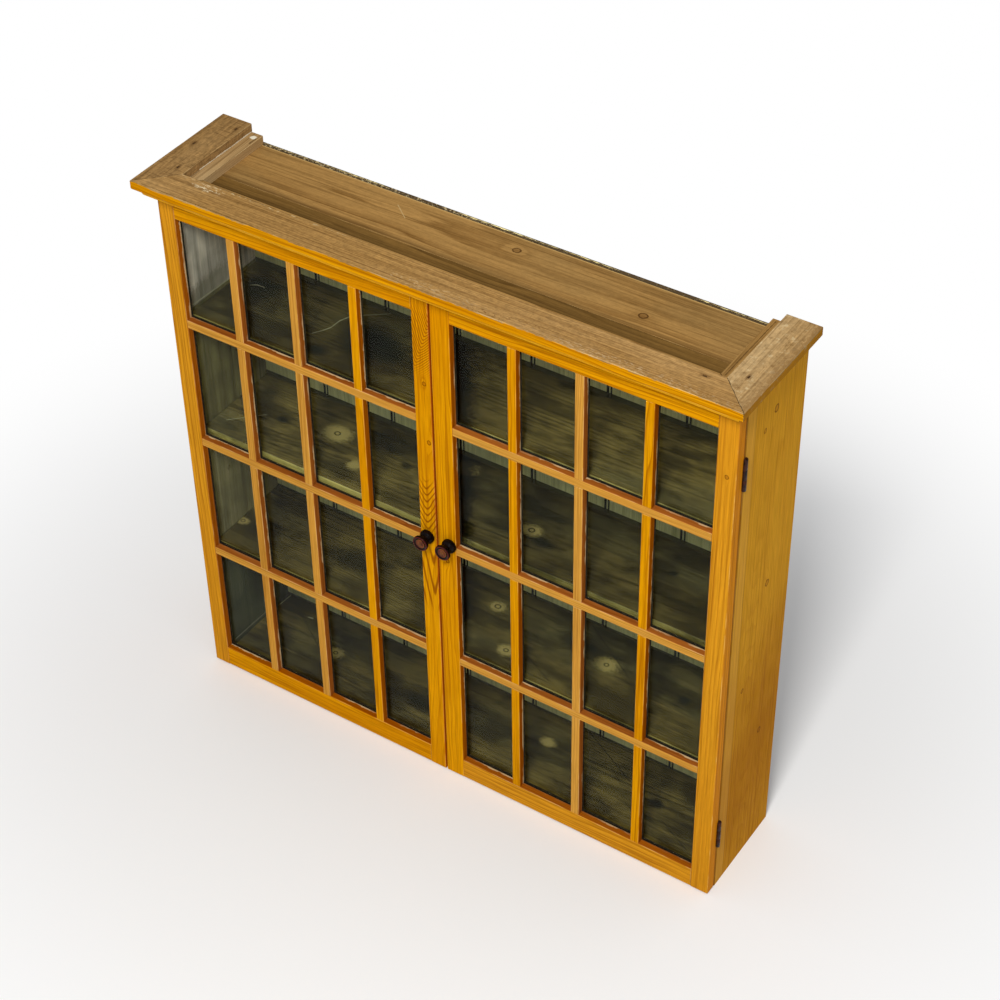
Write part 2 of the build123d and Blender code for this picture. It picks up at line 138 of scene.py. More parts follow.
def maths(operation, *values, clamp=False):
    return put("Math", dict(enumerate(values)), operation=operation, use_clamp=clamp).outputs[0]


plus, minus, times = (partial(maths, operation) for operation in ("ADD", "SUBTRACT", "MULTIPLY"))
larger, absolute = partial(maths, "MAXIMUM"), partial(maths, "ABSOLUTE")


def vector(operation, first, second):
    return put("VectorMath", {0: first, 1: second}, operation=operation).outputs[0]


def length(value):
    return put("VectorMath", {0: value}, operation="LENGTH").outputs["Value"]


def dot(first, second):
    return put("VectorMath", {0: first, 1: second}, operation="DOT_PRODUCT").outputs["Value"]


def xyz(value):
    """The three parts of a vector."""
    return put("SeparateXYZ", {0: value}).outputs


def remap(value, low, high, new_low=0.0, new_high=1.0, smooth=True):
    return put("MapRange", {"Value": value, 1: low, 2: high, 3: new_low, 4: new_high},
               interpolation_type="SMOOTHSTEP" if smooth else "LINEAR").outputs[0]


def blend(amount, first, second, kind="MIX"):
    """Mixes two colours by an amount from 0 to 1."""
    made = put("Mix", {0: amount, 6: first, 7: second}, data_type="RGBA", blend_type=kind, clamp_factor=True)
    return made.outputs[2]


def laid(under, mask, amount, tone, kind="MIX"):
    """A colour with another laid over it, as much as a mask times an amount."""
    return blend(times(mask, amount), under, tone, kind)


def shade(tone, value):
    """A colour made darker or lighter by a factor."""
    grey = put("CombineColor", {0: value, 1: value, 2: value}).outputs[0]
    return blend(1.0, tone, grey, "MULTIPLY")


def bumped(strength, distance, height):
    return put("Bump", {"Strength": strength, "Distance": distance, "Height": height}).outputs[0]


def cover(amount, under, over):
    """Lays one shader over another, and makes the result the finish's surface."""
    mixed = put("MixShader", {0: amount, 1: under.outputs[0], 2: over.outputs[0]})
    fill(tree.nodes["Material Output"], {0: mixed.outputs[0]})


def noise(place, scale, detail=2.0, roughness=0.5, stretch=(1, 1, 1)):
    """Noise from about 0.3 to 0.7, at scale per metre, stretched by a factor along each axis."""
    wide = vector("MULTIPLY", place, tuple(scale * part for part in stretch))
    return put("TexNoise", {"Vector": wide, "Scale": 1.0, "Detail": detail, "Roughness": roughness}).outputs["Fac"]


def object_place():
    return put("TexCoord").outputs["Object"]


print("a varnish tone:", [round(v, 3) for v in colour(200, 132, 20)])

# %% [markdown]
# ## The floor and the studio light
#
# The floor is a plain pale sheet that keeps the cabinet's shadow. Far from the cabinet it passes into a white
# backdrop, which only the camera, mirrors and glass see, so that it throws no light on the wood. One soft panel
# stands high in front and a little to the right, so the tops are the brightest faces, the doors come next and the
# right side stays a step darker, and the bars throw their shadows on the shelves. The pale world fills the rest, so
# that a colour comes out of the render about as it was written.

# %% Floor
bpy.ops.object.select_all(action="DESELECT")
bpy.ops.mesh.primitive_plane_add(size=60, location=(0, 0, 0))
floor = bpy.context.object
floor.name = "studio_floor"
floor_finish, shader = new_finish("studio_floor")
fill(shader, {"Base Color": blend(noise(object_place(), 0.7), colour(247, 247, 247), colour(251, 251, 251)),
              "Roughness": 0.9, "Specular IOR Level": 0.1})
path = put("LightPath").outputs
seen = larger(larger(path["Is Camera Ray"], path["Is Glossy Ray"]), path["Is Transmission Ray"])
far = times(remap(length(object_place()), 0.6, 1.5), seen)
cover(far, shader, put("Emission", {"Color": (1, 1, 1, 1), "Strength": 1.0}))
floor.data.materials.append(floor_finish)
print("floor", floor.dimensions[:2])

# %% Studio light
world = bpy.data.worlds.new("studio")
world.use_nodes = True
fill(world.node_tree.nodes["Background"], {"Color": (0.97, 0.985, 1.0, 1.0), "Strength": 0.46})
bpy.context.scene.world = world
bpy.context.scene.view_settings.view_transform = "Standard"


def soft_panel(name, place, aim, size, watts, tint):
    """A square lamp, turned to face a point."""
    bpy.ops.object.light_add(type="AREA", location=place)
    lamp = bpy.context.object
    lamp.name = name
    lamp.rotation_euler = (Vector(aim) - Vector(place)).to_track_quat("-Z", "Y").to_euler()
    lamp.data.size = size
    lamp.data.energy = watts
    lamp.data.color = tint
    return lamp


key = soft_panel("key_panel", (1.17, -2.5, 3.8), (0, 0, 0.55), 0.8, 128, (1.0, 0.985, 0.96))
print("lamp:", key.name, key.data.energy, "W")

# %% [markdown]
# ## How pine shows its rings
#
# A board is cut from a log, and what its faces show is the rings of that log. So the pattern is built in three
# dimensions: the distance from a pith line that runs beside the board, and not quite along it, is counted in rings,
# and each ring fades from pale early wood to a narrow brown line of late wood. A slanting pith gives the nested
# arches of a plain sawn board and a distant one gives straight grain. A flat picture of grain could be laid on each
# face, but it wouldn't turn the corners.
#
# Around a knot the rings bend aside, further along the grain than across it, and the knot has a dark rim. Where a
# branch lies hidden below the face there is only a swelling of the rings, which shows as nested points.

# %% The log
TURN = {"x": (0, -math.pi / 2, 0), "y": (math.pi / 2, 0, 0), "z": (0, 0, 0)}


def chance(name, low, high):
    """A number between low and high that is always the same for the same name."""
    return low + (high - low) * (zlib.crc32(name.encode()) % 10007) / 10007


def log_place(here, grain, centre, pith, tilt):
    """Where a point lies in the log, whose pith is the Z axis. Pith is in millimetres from the board's centre."""
    along = put("Mapping", {"Vector": vector("SUBTRACT", here, centre), "Rotation": TURN[grain]})
    slant = tuple(math.radians(angle) for angle in (*tilt, 0))
    return put("Mapping", {"Vector": along.outputs[0], "Rotation": slant,
                           "Location": (-pith[0] / 1000, -pith[1] / 1000, 0)}).outputs[0]


def far_from(here, centre, radii):
    """Distance from a centre, counted in radii along x, y and z. All in millimetres, and 0 leaves an axis out."""
    away = vector("SUBTRACT", here, metres(centre))
    return length(vector("MULTIPLY", away, tuple(1000 / radius if radius else 0.0 for radius in radii)))


def knot_radii(knot, grain, stretch):
    """A knot's radii along x, y and z: nothing along its own axis, and more along the grain."""
    radius, axis = knot[3:]
    return [0 if name == axis else radius * (stretch if name == grain else 1) for name in "xyz"]


def pine_figure(name, here, grain, centre, pith, tilt, ring_mm, wander, knots, swells):
    """The rings, streaks, patches and knots of one board, each from 0 to 1. A knot is (x, y, z, radius, axis)."""
    log = log_place(here, grain, centre, pith, tilt)
    own = chance(name + "own", 0, 40)
    place = vector("ADD", log, (own, own / 3, own / 7))
    slow = put("TexNoise", {"Vector": vector("MULTIPLY", place, (0.4, 0.4, 1)), "Scale": 2.6,
                            "Detail": 1.0}).outputs["Color"]
    bent = vector("MULTIPLY", vector("SUBTRACT", slow, (0.5, 0.5, 0.5)), (wander / 1000,) * 3)
    radius = length(vector("MULTIPLY", vector("ADD", log, bent), (1, 1, 0)))
    ripple = noise(place, 55, 2, 0.6, (1, 1, 0.07))
    radius = maths("MULTIPLY_ADD", minus(ripple, 0.5), ring_mm / 700, radius)
    core = rim = None
    for knot in knots:
        pushed = remap(far_from(here, knot[:3], knot_radii(knot, grain, 2.6)), 0.3, 3.2, knot[3] / 1000 * 0.9, 0.0)
        radius = plus(radius, pushed)
        distance = far_from(here, knot[:3], knot_radii(knot, grain, 1.15))
        distance = maths("MULTIPLY_ADD", noise(place, 1100 / knot[3], 1), 0.5, minus(distance, 0.25))
        inside = remap(distance, 1.15, 0.85)
        edge = remap(absolute(minus(distance, 1.0)), 0.32, 0.05)
        core = inside if core is None else larger(core, inside)
        rim = edge if rim is None else larger(rim, edge)
    for x, y, z, *radii, push in swells:
        away = vector("SUBTRACT", here, metres((x, y, z)))
        away = put("VectorMath", {0: away}, operation="ABSOLUTE").outputs[0]
        steps = dot(away, tuple(1000 / part for part in radii))
        pushed = remap(steps, 0.0, 1.0, push / 1000, 0.0, smooth=False)
        radius = plus(radius, pushed)
    count = maths("DIVIDE", radius, ring_mm / 1000)
    uneven = noise(put("CombineXYZ", {0: count, 1: own}).outputs[0], 0.37, 1)
    turn = maths("FRACT", maths("MULTIPLY_ADD", uneven, 2.4, count))
    ramp = put("ValToRGB", {"Fac": turn})
    stops = ramp.color_ramp.elements
    for where, grey in ((0.5, 0.12), (0.76, 0.55), (0.9, 1.0)):
        stops.new(where).color = (grey, grey, grey, 1)
    stops[0].color = stops[-1].color = (0, 0, 0, 1)
    strength = remap(noise(place, 9, 1, 0.5, (1, 1, 0.2)), 0.3, 0.7, 0.5, 1.0)
    return {"rings": times(ramp.outputs["Color"], strength), "fibres": noise(place, 620, 3, 0.7, (1, 1, 0.03)),
            "streaks": noise(place, 70, 3, 0.65, (1, 1, 0.016)), "lines": noise(place, 230, 2, 0.7, (1, 1, 0.008)),
            "mottle": noise(place, 210, 4, 0.7, (1, 1, 0.5)), "patches": noise(place, 7, 3, 0.55, (1, 1, 0.35)),
            "knot": core, "rim": rim, "place": place, "here": here}


print("turns:", TURN)

# %% [markdown]
# ## Which way a face looks, and marks at a place
#
# One board can carry two finishes: a side is varnished outside and painted inside, and the cornice is varnished only
# where it is seen from below. A mask made from the face's own direction tells them apart. The worn arrises are found
# in the same way, since a rounded edge is the only place that looks along none of the three axes.
#
# Single marks, such as a stain, a chip or a scratch, are spots and strokes: the distance from a point or from a
# line between two points, with an uneven edge.

# %% Masks
def looks(axis, sign):
    """1 on faces that look along one end of an axis."""
    return remap(times(xyz(put("TexCoord").outputs["Normal"])["xyz".index(axis)], sign), 0.55, 0.8)


def arris():
    """1 on the rounded edges between faces."""
    x, y, z = (absolute(part) for part in xyz(put("TexCoord").outputs["Normal"]))
    return remap(larger(larger(x, y), z), 0.995, 0.9)


def part_of(axis):
    """One coordinate of the place, in metres."""
    return xyz(object_place())["xyz".index(axis)]


def spot(figure, place, radii, edge=0.35):
    """1 inside a spot with an uneven outline."""
    uneven = times(minus(noise(figure["place"], 260, 3), 0.5), 1.2)
    return remap(plus(far_from(figure["here"], place, radii), uneven), 1 + edge, 1 - edge)


def stroke(figure, start, end, width):
    """1 along a straight mark between two points, all in millimetres."""
    start, end = (Vector(point) / 1000 for point in (start, end))
    away = vector("SUBTRACT", figure["here"], tuple(start))
    along = dot(away, tuple((end - start) / (end - start).length_squared))
    along = maths("ADD", along, 0.0, clamp=True)
    beside = vector("SUBTRACT", away,
                    put("VectorMath", {0: tuple(end - start), "Scale": along}, operation="SCALE").outputs[0])
    rough = remap(noise(figure["place"], 160, 3, 0.7), 0.3, 0.7, 0.4, 1.6, smooth=False)
    return remap(length(beside), times(rough, width / 1000), times(rough, width / 4000))


def band(axis, low, high, soft=1.0):
    """1 between two planes across an axis, in millimetres."""
    where = part_of(axis)
    rising = remap(where, (low - soft) / 1000, (low + soft) / 1000)
    return times(rising, remap(where, (high - soft) / 1000, (high + soft) / 1000, 1.0, 0.0))


def painter(paint):
    """Turns paint(figure, mixed, *settings) into a function of the settings, which gives one of figure and mixed."""
    return lambda *settings: lambda figure, mixed: paint(figure, mixed, *settings)


print("masks ready")

# %% [markdown]
# ## Varnished, weathered and painted pine
#
# Old varnish turns amber: it fills the early wood with orange and the late wood with brown, hides most of the grain
# in the reveals, and is rubbed off along the arrises. The top of the cornice was never varnished, because nobody sees
# it from the floor, so it is grey brown, dry and dirty. The inside is painted a dull grey green, and the shelves are
# almost black with stain and old grease. An amber varnish also tints the light it mirrors.
#
# Each board gets its own material, so that no two boards show the same rings, and all of them are made by one
# function that takes the tones of the wood and returns the finish.

# %% Finishes of pine
TONES = ("early", "late", "patch", "streak", "line", "knot", "worn")


def tone_set(*chart):
    return {name: colour(*tone) for name, tone in zip(TONES, chart)}


VARNISH = tone_set((218, 150, 4), (166, 98, 0), (198, 126, 0), (164, 94, 0), (152, 84, 0), (150, 80, 6),
                   (230, 178, 80))
PALE_VARNISH = tone_set((212, 146, 30), (168, 106, 16), (200, 134, 24), (162, 98, 16), (152, 92, 14), (140, 82, 18),
                        (226, 184, 108))
SIDE_VARNISH = tone_set((206, 148, 30), (180, 118, 14), (194, 136, 24), (172, 110, 8), (164, 102, 6), (160, 98, 12),
                        (222, 172, 84))
WEATHERED = tone_set((170, 131, 76), (124, 87, 42), (184, 146, 94), (112, 79, 38), (112, 78, 38), (70, 42, 20),
                     (206, 176, 124))
DARK_WEATHERED = tone_set((154, 118, 70), (112, 80, 42), (164, 130, 84), (98, 70, 36), (98, 68, 34), (64, 40, 20),
                          (190, 160, 110))
PALE_WEATHERED = tone_set((176, 142, 94), (136, 103, 60), (192, 162, 116), (114, 84, 46), (118, 86, 48),
                          (80, 52, 28), (212, 188, 140))
DUSTY = tone_set((168, 128, 72), (122, 86, 40), (148, 116, 68), (104, 74, 34), (104, 72, 32), (108, 72, 32),
                 (190, 160, 108))
# Dirty pine, also used as painted shade on the front top board.
DIRT_AND_SHADE = tone_set((132, 98, 48), (88, 61, 24), (106, 79, 38), (68, 47, 20), (76, 52, 22), (66, 38, 16),
                 (166, 134, 84))
# Batten varnish made brighter as painted light, against the shade under the cap's overhang.
BATTEN_VARNISH_PAINTED_LIGHT = tone_set((255, 194, 44), (228, 148, 12), (250, 178, 22), (216, 138, 8), (208, 130, 8), (170, 96, 6),
                          (232, 158, 24))
BAR_VARNISH = tone_set((206, 150, 62), (172, 116, 38), (196, 138, 52), (164, 108, 34), (154, 100, 30), (142, 88, 28),
                       (226, 188, 120))
FRONT_PAINT = tone_set((150, 134, 78), (136, 120, 66), (120, 106, 56), (84, 74, 38), (98, 86, 44), (98, 92, 64),
                       (176, 160, 104))
STAINED = tone_set((94, 78, 40), (44, 36, 14), (64, 60, 40), (24, 19, 6), (34, 27, 10), (150, 132, 84),
                   (112, 104, 66))
PAINT = tone_set((126, 124, 98), (116, 114, 88), (104, 102, 76), (78, 76, 54), (90, 88, 66), (98, 92, 64),
                 (150, 144, 110))

AMBER = (1.0, 0.70, 0.22, 1.0)


def tones(figure, tone, ring, line, streak, mottle):
    """The colour of one finish over a board's figure."""
    mixed = laid(tone["early"], figure["rings"], ring, tone["late"])
    mixed = blend(remap(figure["patches"], 0.42, 0.64, 0.0, 0.6), mixed, tone["patch"])
    mixed = blend(remap(figure["lines"], 0.5, 0.68, 0.0, line), mixed, tone["line"])
    mixed = blend(remap(figure["streaks"], 0.52, 0.74, 0.0, streak), mixed, tone["streak"])
    mixed = shade(mixed, remap(figure["fibres"], 0.3, 0.7, 0.82, 1.16, smooth=False))
    if mottle:
        mixed = shade(mixed, remap(figure["mottle"], 0.3, 0.7, 1 - mottle, 1 + mottle, smooth=False))
    if figure["knot"] is not None:
        mixed = laid(mixed, figure["knot"], 0.5, tone["knot"])
        dark = blend(1.0, tone["knot"], (0.32, 0.25, 0.2, 1), "MULTIPLY")
        mixed = laid(mixed, figure["rim"], 0.8, dark)
    edge = remap(noise(figure["place"], 60, 3, 0.6, (1, 1, 0.3)), 0.42, 0.62, 0.05, 0.7)
    return laid(mixed, arris(), edge, tone["worn"])


def pine(name, node, layers, ring_mm=5.0, pith=None, tilt=None, wander=14, knots=(), swells=(), overs=(), rough=0.4,
         shine=0.1, index=1.3, sheen=(1.0, 1.0, 1.0, 1.0), relief=0.15, ring=1.0, line=0.5, streak=0.45, mottle=0.0):
    """A material for one board. Layers are (tone, mask or None), the first one all over."""
    finish, shader = new_finish(name)
    low, high = (Vector(corner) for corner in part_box(node))
    size, centre = high - low, (low + high) / 2
    order = sorted("xyz", key=lambda axis: size["xyz".index(axis)])
    grain, thick = order[2], order[0]
    across = {"x": ("z", "y"), "y": ("x", "z"), "z": ("x", "y")}[grain]
    if pith is None:
        deep = chance(node + "deep", 45, 120) * (1 if chance(node + "side", 0, 1) > 0.5 else -1)
        wide = chance(node + "wide", -0.6, 0.6) * size["xyz".index(order[1])] * 1000
        pith = (deep, wide) if across[0] == thick else (wide, deep)
    tilt = tilt or (chance(node + "tilt a", -1.2, 1.2), chance(node + "tilt b", -1.2, 1.2))
    figure = pine_figure(node, object_place(), grain, tuple(centre), pith, tilt, ring_mm, wander, knots, swells)
    mixed = None
    for tone, mask in layers:
        layer = tones(figure, tone, ring, line, streak, mottle if mask is None else 0.0)
        mixed = layer if mixed is None else blend(mask(figure), mixed, layer)
    for over in overs:
        mixed = over(figure, mixed)
    height = maths("MULTIPLY_ADD", figure["rings"], -0.3, figure["fibres"])
    if mottle:
        height = maths("MULTIPLY_ADD", figure["mottle"], mottle * 3, height)
    fill(shader, {"Base Color": mixed, "Roughness": remap(figure["fibres"], 0.3, 0.7, rough + 0.08, rough - 0.06),
                  "Specular IOR Level": shine, "Specular Tint": sheen, "IOR": index,
                  "Normal": bumped(relief, 0.0006, height)})
    return finish


print("finishes: varnish, weathered, stained, paint")

# %% [markdown]
# ## Boards with eased edges
#
# A joiner never leaves a sharp arris: it is taken off with a plane or glass paper, and years of dusting round it more.
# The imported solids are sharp, so each board is copied, its loose triangles are merged into whole faces, and a
# narrow bevel eases the edges. The copy then stands for the solid. A bevel modifier is right here, because the edges
# to ease are simply all the sharp ones.

# %% Easing a board
def mode(name):
    bpy.ops.object.mode_set(mode=name)


def only(piece):
    bpy.ops.object.select_all(action="DESELECT")
    piece.select_set(True)
    bpy.context.view_layer.objects.active = piece


def select_edges(piece, test):
    """Goes into edit mode with the edges selected whose two ends pass a test, and returns their number."""
    only(piece)
    mode("EDIT")
    bpy.ops.mesh.select_all(action="DESELECT")
    mode("OBJECT")
    for edge in piece.data.edges:
        edge.select = test(*(piece.data.vertices[index].co for index in edge.vertices))
    chosen = sum(edge.select for edge in piece.data.edges)
    mode("EDIT")
    bpy.ops.mesh.select_mode(type="EDGE")
    return chosen


def body_name(node):
    """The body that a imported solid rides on."""
    holder = frame["nodes"][node].parent
    while holder is not None and holder not in frame["bodies"].values():
        holder = holder.parent
    return next(name for name, body in frame["bodies"].items() if body == holder)


def eased(node, finish, width):
    """A copy of a solid with merged faces and eased edges, which replaces it."""
    source = frame["nodes"][node]
    piece = source.copy()
    piece.data = source.data.copy()
    piece.parent = None
    piece.name = node + "_board"
    piece.matrix_world.identity()
    bpy.context.scene.collection.objects.link(piece)
    only(piece)
    mode("EDIT")
    bpy.ops.mesh.select_all(action="SELECT")
    bpy.ops.mesh.remove_doubles(threshold=0.000002)
    bpy.ops.mesh.dissolve_limited(angle_limit=math.radians(0.5))
    mode("OBJECT")
    ease = piece.modifiers.new("ease", "BEVEL")
    ease.width = width / 1000
    ease.segments = 2
    ease.limit_method = "ANGLE"
    ease.angle_limit = math.radians(40)
    ease.harden_normals = True
    ease.use_clamp_overlap = True
    bpy.ops.object.modifier_apply(modifier="ease")
    piece.data.materials.clear()
    piece.data.materials.append(finish)
    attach(piece, body_name(node))
    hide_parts(node)
    return piece


print("helper ready: eased")

# %% [markdown]
# ## The doors' frames and bars
#
# Every pane sits in a rebate, so each bar and rail shows a reveal twelve millimetres deep round the glass. The reveals
# are redder and darker than the faces, partly because varnish runs thick in there and partly as painted shade in the
# rebate. Right at the glass a thin pale line is painted. Both are painted by place: the line is everything on a
# reveal within two millimetres of the glass. Dirt gathers where a rail or bar meets a stile, so its ends get a thin
# dark line.

# %% Reveals
GLASS_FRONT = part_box("glass_top_left")[0][1]


@painter
def reveal(figure, mixed, *sides):
    """Darkens the faces towards the glass, for thick varnish and as painted shade, and draws the pale line beside it.
    Sides are (axis, sign).
    """
    facing = None
    for axis, sign in sides:
        mask = looks(axis, sign)
        facing = mask if facing is None else larger(facing, mask)
    # Reveals made darker and redder: thick varnish, and painted shade in the rebate.
    mixed = laid(mixed, facing, 0.95, (0.60, 0.34, 0.30, 1), "MULTIPLY")
    uneven = remap(noise(figure["place"], 45, 3, 0.6), 0.35, 0.65, -0.0014, 0.0014)
    near = remap(plus(part_of("y"), uneven), GLASS_FRONT - 0.0030, GLASS_FRONT - 0.0018)
    bright = remap(noise(figure["place"], 7, 2), 0.44, 0.56, 0.05, 0.95)
    pale = times(times(near, facing), bright)
    return blend(pale, mixed, colour(214, 184, 136))


@painter
def dirty_ends(figure, mixed, node, axis):
    """A thin dark line at both ends of a member."""
    low, high = (corner["xyz".index(axis)] * 1000 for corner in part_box(node))
    lap = 14.0 if "rail" in node else 8.0
    inner = band(axis, low + lap - 5, high - lap + 5, 0.5)
    return blend(remap(inner, 0.0, 1.0, 0.75, 0.0), mixed, colour(112, 62, 10))


@painter
def outer_edge(figure, mixed, sign):
    """The redder outer edge of a door, and a dark line of painted shade in the gap where it meets the case."""
    outside = looks("x", sign)
    mixed = blend(outside, mixed, (1.0, 0.84, 0.5, 1), "MULTIPLY")
    # Painted shade: a dark line in the gap between the door's edge and the case.
    gap_shade = times(band("y", -66.3, -62, 0.6), outside)
    return laid(mixed, gap_shade, 0.8, colour(84, 42, 6))


@painter
def meeting_edge_shade(figure, mixed, sign):
    """A darker red brown on the meeting edge, painted shade for the narrow gap between the doors."""
    # Painted shade on the edge that faces the other door.
    return laid(mixed, looks("x", sign), 0.85, colour(176, 78, 16))


@painter
def chevrons(figure, mixed, x, lean, z, half, every, steep, blunt):
    """Nested V shapes, points down, where the saw cut through a rise in the rings. Their middle line leans along x."""
    parts = xyz(figure["here"])
    middle = maths("MULTIPLY_ADD", minus(parts[2], z / 1000), lean, x / 1000)
    beside = minus(parts[0], middle)
    beside = maths("SQRT", plus(times(beside, beside), (blunt / 1000) ** 2))
    height = maths("MULTIPLY_ADD", beside, -steep, parts[2])
    height = maths("MULTIPLY_ADD", noise(figure["place"], 22, 2), 0.016, height)
    turn = maths("FRACT", maths("DIVIDE", height, every / 1000))
    line = remap(absolute(minus(turn, 0.5)), 0.24, 0.06)
    line = times(line, band("z", z - half, z + half, half * 0.3))
    return laid(mixed, line, 0.85, colour(132, 66, 2))


MEMBERS = {
    "hinge_stile_left": dict(pith=(-40, 60), tilt=(0.5, 0.3), tone=PALE_VARNISH, ring_mm=3.4),
    "hinge_stile_right": dict(pith=(60, 70), tilt=(0.4, -0.5), ring_mm=4, tone=PALE_VARNISH,
                              knots=((505, -86, 903, 3.0, "y"),)),
    "meeting_stile_left": dict(overs=[chevrons(-16, 0.32, 935, 58, 7, 1.6, 2), chevrons(-22, 0, 604, 52, 14, 2.2, 5),
                                      chevrons(-13, 0, 452, 62, 64, 6, 3)],
                               pith=(20, 60), tilt=(0.9, 0.2), ring_mm=3.4,
                               knots=((-17.2, -86, 852.5, 3.2, "y"), (-12.5, -86, 738.5, 3.4, "y"))),
    "meeting_stile_right": dict(pith=(50, 80), tilt=(0.3, 0.4), ring_mm=4, knots=((14.4, -86, 504.1, 3.4, "y"),)),
    "top_rail_left": dict(pith=(60, 50)),
    "top_rail_right": dict(pith=(70, 60)),
    "bottom_rail_left": dict(pith=(-60, 50)),
    "bottom_rail_right": dict(pith=(-50, 70), tone=PALE_VARNISH, ring_mm=4),
}


def shared_overs(node):
    """What every member of a kind gets, on the sides that face its panes."""
    hand = 1 if node.endswith("left") else -1
    if node.startswith("hinge_stile"):
        return [reveal(("x", hand)), outer_edge(-hand)]
    if node.startswith("meeting_stile"):
        return [reveal(("x", -hand)), meeting_edge_shade(hand)]
    if node.startswith("upright_bars"):
        return [reveal(("x", 1), ("x", -1))]
    sides = {"top": [("z", -1)], "bottom": [("z", 1)], "bar": [("z", 1), ("z", -1)]}[node.split("_")[0]]
    return [reveal(*sides), dirty_ends(node, "x")]


PALE_BARS = {"upright_bars_left": (-480, -200), "upright_bars_right": (230, 285)}


def pale_bars(low, high):
    """Some of the upright bars were cut from paler wood."""
    return lambda figure: band("x", low, high)


# %% Door members
for node in sorted(frame["nodes"]):
    if node not in MEMBERS and not node.startswith(("bar_", "upright_bars")):
        continue
    settings = dict(MEMBERS.get(node, {}))
    settings["overs"] = settings.get("overs", []) + shared_overs(node)
    layers = [(settings.pop("tone", BAR_VARNISH if node.startswith("bar_") else VARNISH), None)]
    if node in PALE_BARS:
        layers.append((BAR_VARNISH, pale_bars(*PALE_BARS[node])))
    eased(node, pine("varnish_" + node, node, layers, sheen=AMBER, index=1.1, **settings), 0.7)
print("door members eased")

# %% [markdown]
# ## The sides
#
# Each side is glued up from two boards, a narrow one in front, and the joint shows as a fine dark line down its face.
# The varnish is paler in front and at the top, and darker and browner towards the floor. A dark line of painted
# shade runs down the front edge, where the door meets the case.
# Inside, the paint stops short where a shelf is housed, and old filler shows as a pale line over its end. The inside
# paint also carries painted light and shade: far lighter above the upper shelf, lighter between the lower and middle
# shelves and darker above the floor of the case.

# %% Side panels
SIDE_JOINT_Y = -35.0
UPPER, MIDDLE, LOWER, CASE_FLOOR = 783.5, 545.5, 288.5, 19  # the shelves' upper faces


def painted_inside(sign):
    return lambda figure: looks("x", sign)


@painter
def aged_and_shaded_side(figure, mixed, sign):
    """The joint, the paler front board and the darker foot of a side's outer face, and a dark line of painted shade
    along its front edge.
    """
    outside = looks("x", sign)
    cloud = times(minus(noise(figure["place"], 5, 2), 0.5), 0.5)
    height = plus(part_of("z"), cloud)
    low = times(remap(height, 0.34, 0.62, 1.0, 0.0), remap(height, 0.0, 0.2, 0.45, 1.0))
    mixed = laid(mixed, low, outside, (0.72, 0.60, 0.16, 1), "MULTIPLY")
    front = times(band("y", -61, SIDE_JOINT_Y, 3), outside)
    mixed = laid(mixed, front, 0.25, colour(220, 168, 80))
    joint = times(band("y", SIDE_JOINT_Y - 0.6, SIDE_JOINT_Y + 0.6, 0.6), outside)
    mixed = laid(mixed, joint, 0.5, colour(120, 74, 10))
    # Painted shade: a dark line along the front edge of the outer face, in the gap beside the door.
    front = times(band("y", -63.5, -60.9, 0.6), outside)
    return laid(mixed, front, 0.7, colour(84, 42, 6))


@painter
def aged_and_lit_inside(figure, mixed, sign):
    """The paint inside: streaky, with a dirty patch, and painted light and shade that make it far lighter above the
    upper shelf, lighter between the lower and middle shelves and darker above the floor of the case.
    """
    inside = looks("x", -sign)
    streaky = shade(mixed, remap(figure["streaks"], 0.36, 0.64, 0.72, 1.28, smooth=False))
    streaky = shade(streaky, remap(noise(figure["place"], 14, 3), 0.36, 0.64, 0.78, 1.22))
    # Painted light and shade: the paint is lifted or darkened compartment by compartment.
    compartment_light = blend(band("z", 791, 1010, 2), (0.98, 0.80, 0.52, 1), (3.3, 2.75, 4.0, 1))
    compartment_light = blend(band("z", 291, 543, 2), compartment_light, (1.45, 1.2, 0.95, 1))
    compartment_light = blend(band("z", 5, 280, 3), compartment_light, (0.42, 0.42, 0.38, 1))
    streaky = blend(1.0, streaky, compartment_light, "MULTIPLY")
    dirt = spot(figure, (0, -4, 806), (0, 66, 24), 0.4)
    streaky = laid(streaky, dirt, 0.6, colour(92, 84, 56))
    for shelf, width in ((LOWER, 1.3), (MIDDLE, 1.2), (CASE_FLOOR, 1.8)):
        dark = band("z", shelf, shelf + width, 0.8)
        streaky = laid(streaky, dark, 0.6, colour(24, 22, 12))
    return blend(inside, mixed, streaky)


@painter
def pale_filler(figure, mixed, inner_x):
    marks = (((inner_x, -62, 796), (inner_x, 40, 790.5), 1.3, 0.8),
             ((inner_x, 76, 791), (inner_x, 88, 795.5), 1.6, 0.6),
             ((inner_x, 88, 795.5), (inner_x, 110, 797), 1.4, 0.6), ((inner_x, -50, 31), (inner_x, 46, 27), 1.5, 0.5))
    for start, end, width, amount in marks:
        mark = stroke(figure, start, end, width)
        mixed = laid(mixed, mark, amount, colour(186, 176, 140))
    return mixed


for hand, sign in (("left", -1), ("right", 1)):
    outer_x = 520 * sign
    knots = ((outer_x, 28, 957.6, 5.5, "x"), (outer_x, -3.8, 937.2, 3.5, "x"), (outer_x, 44, 606, 5, "x"),
             (outer_x, -14, 420, 3.5, "x"), (outer_x, 60, 268, 4.5, "x"))
    swells = ((outer_x, 20, 560, 60, 60, 300, 26), (outer_x, 40, 130, 60, 60, 240, 24))
    finish = pine("varnish_side_" + hand, "side_" + hand, [(SIDE_VARNISH, None), (PAINT, painted_inside(-sign))],
                  pith=(-90 * sign, 30), tilt=(0.2, 0.6), ring_mm=5, knots=knots, swells=swells, ring=0.55,
                  overs=[aged_and_shaded_side(sign), aged_and_lit_inside(sign), pale_filler(500 * sign)], line=0.5, streak=0.4,
                  sheen=AMBER, index=1.09)
    eased("side_" + hand, finish, 1.0)
print("sides eased")
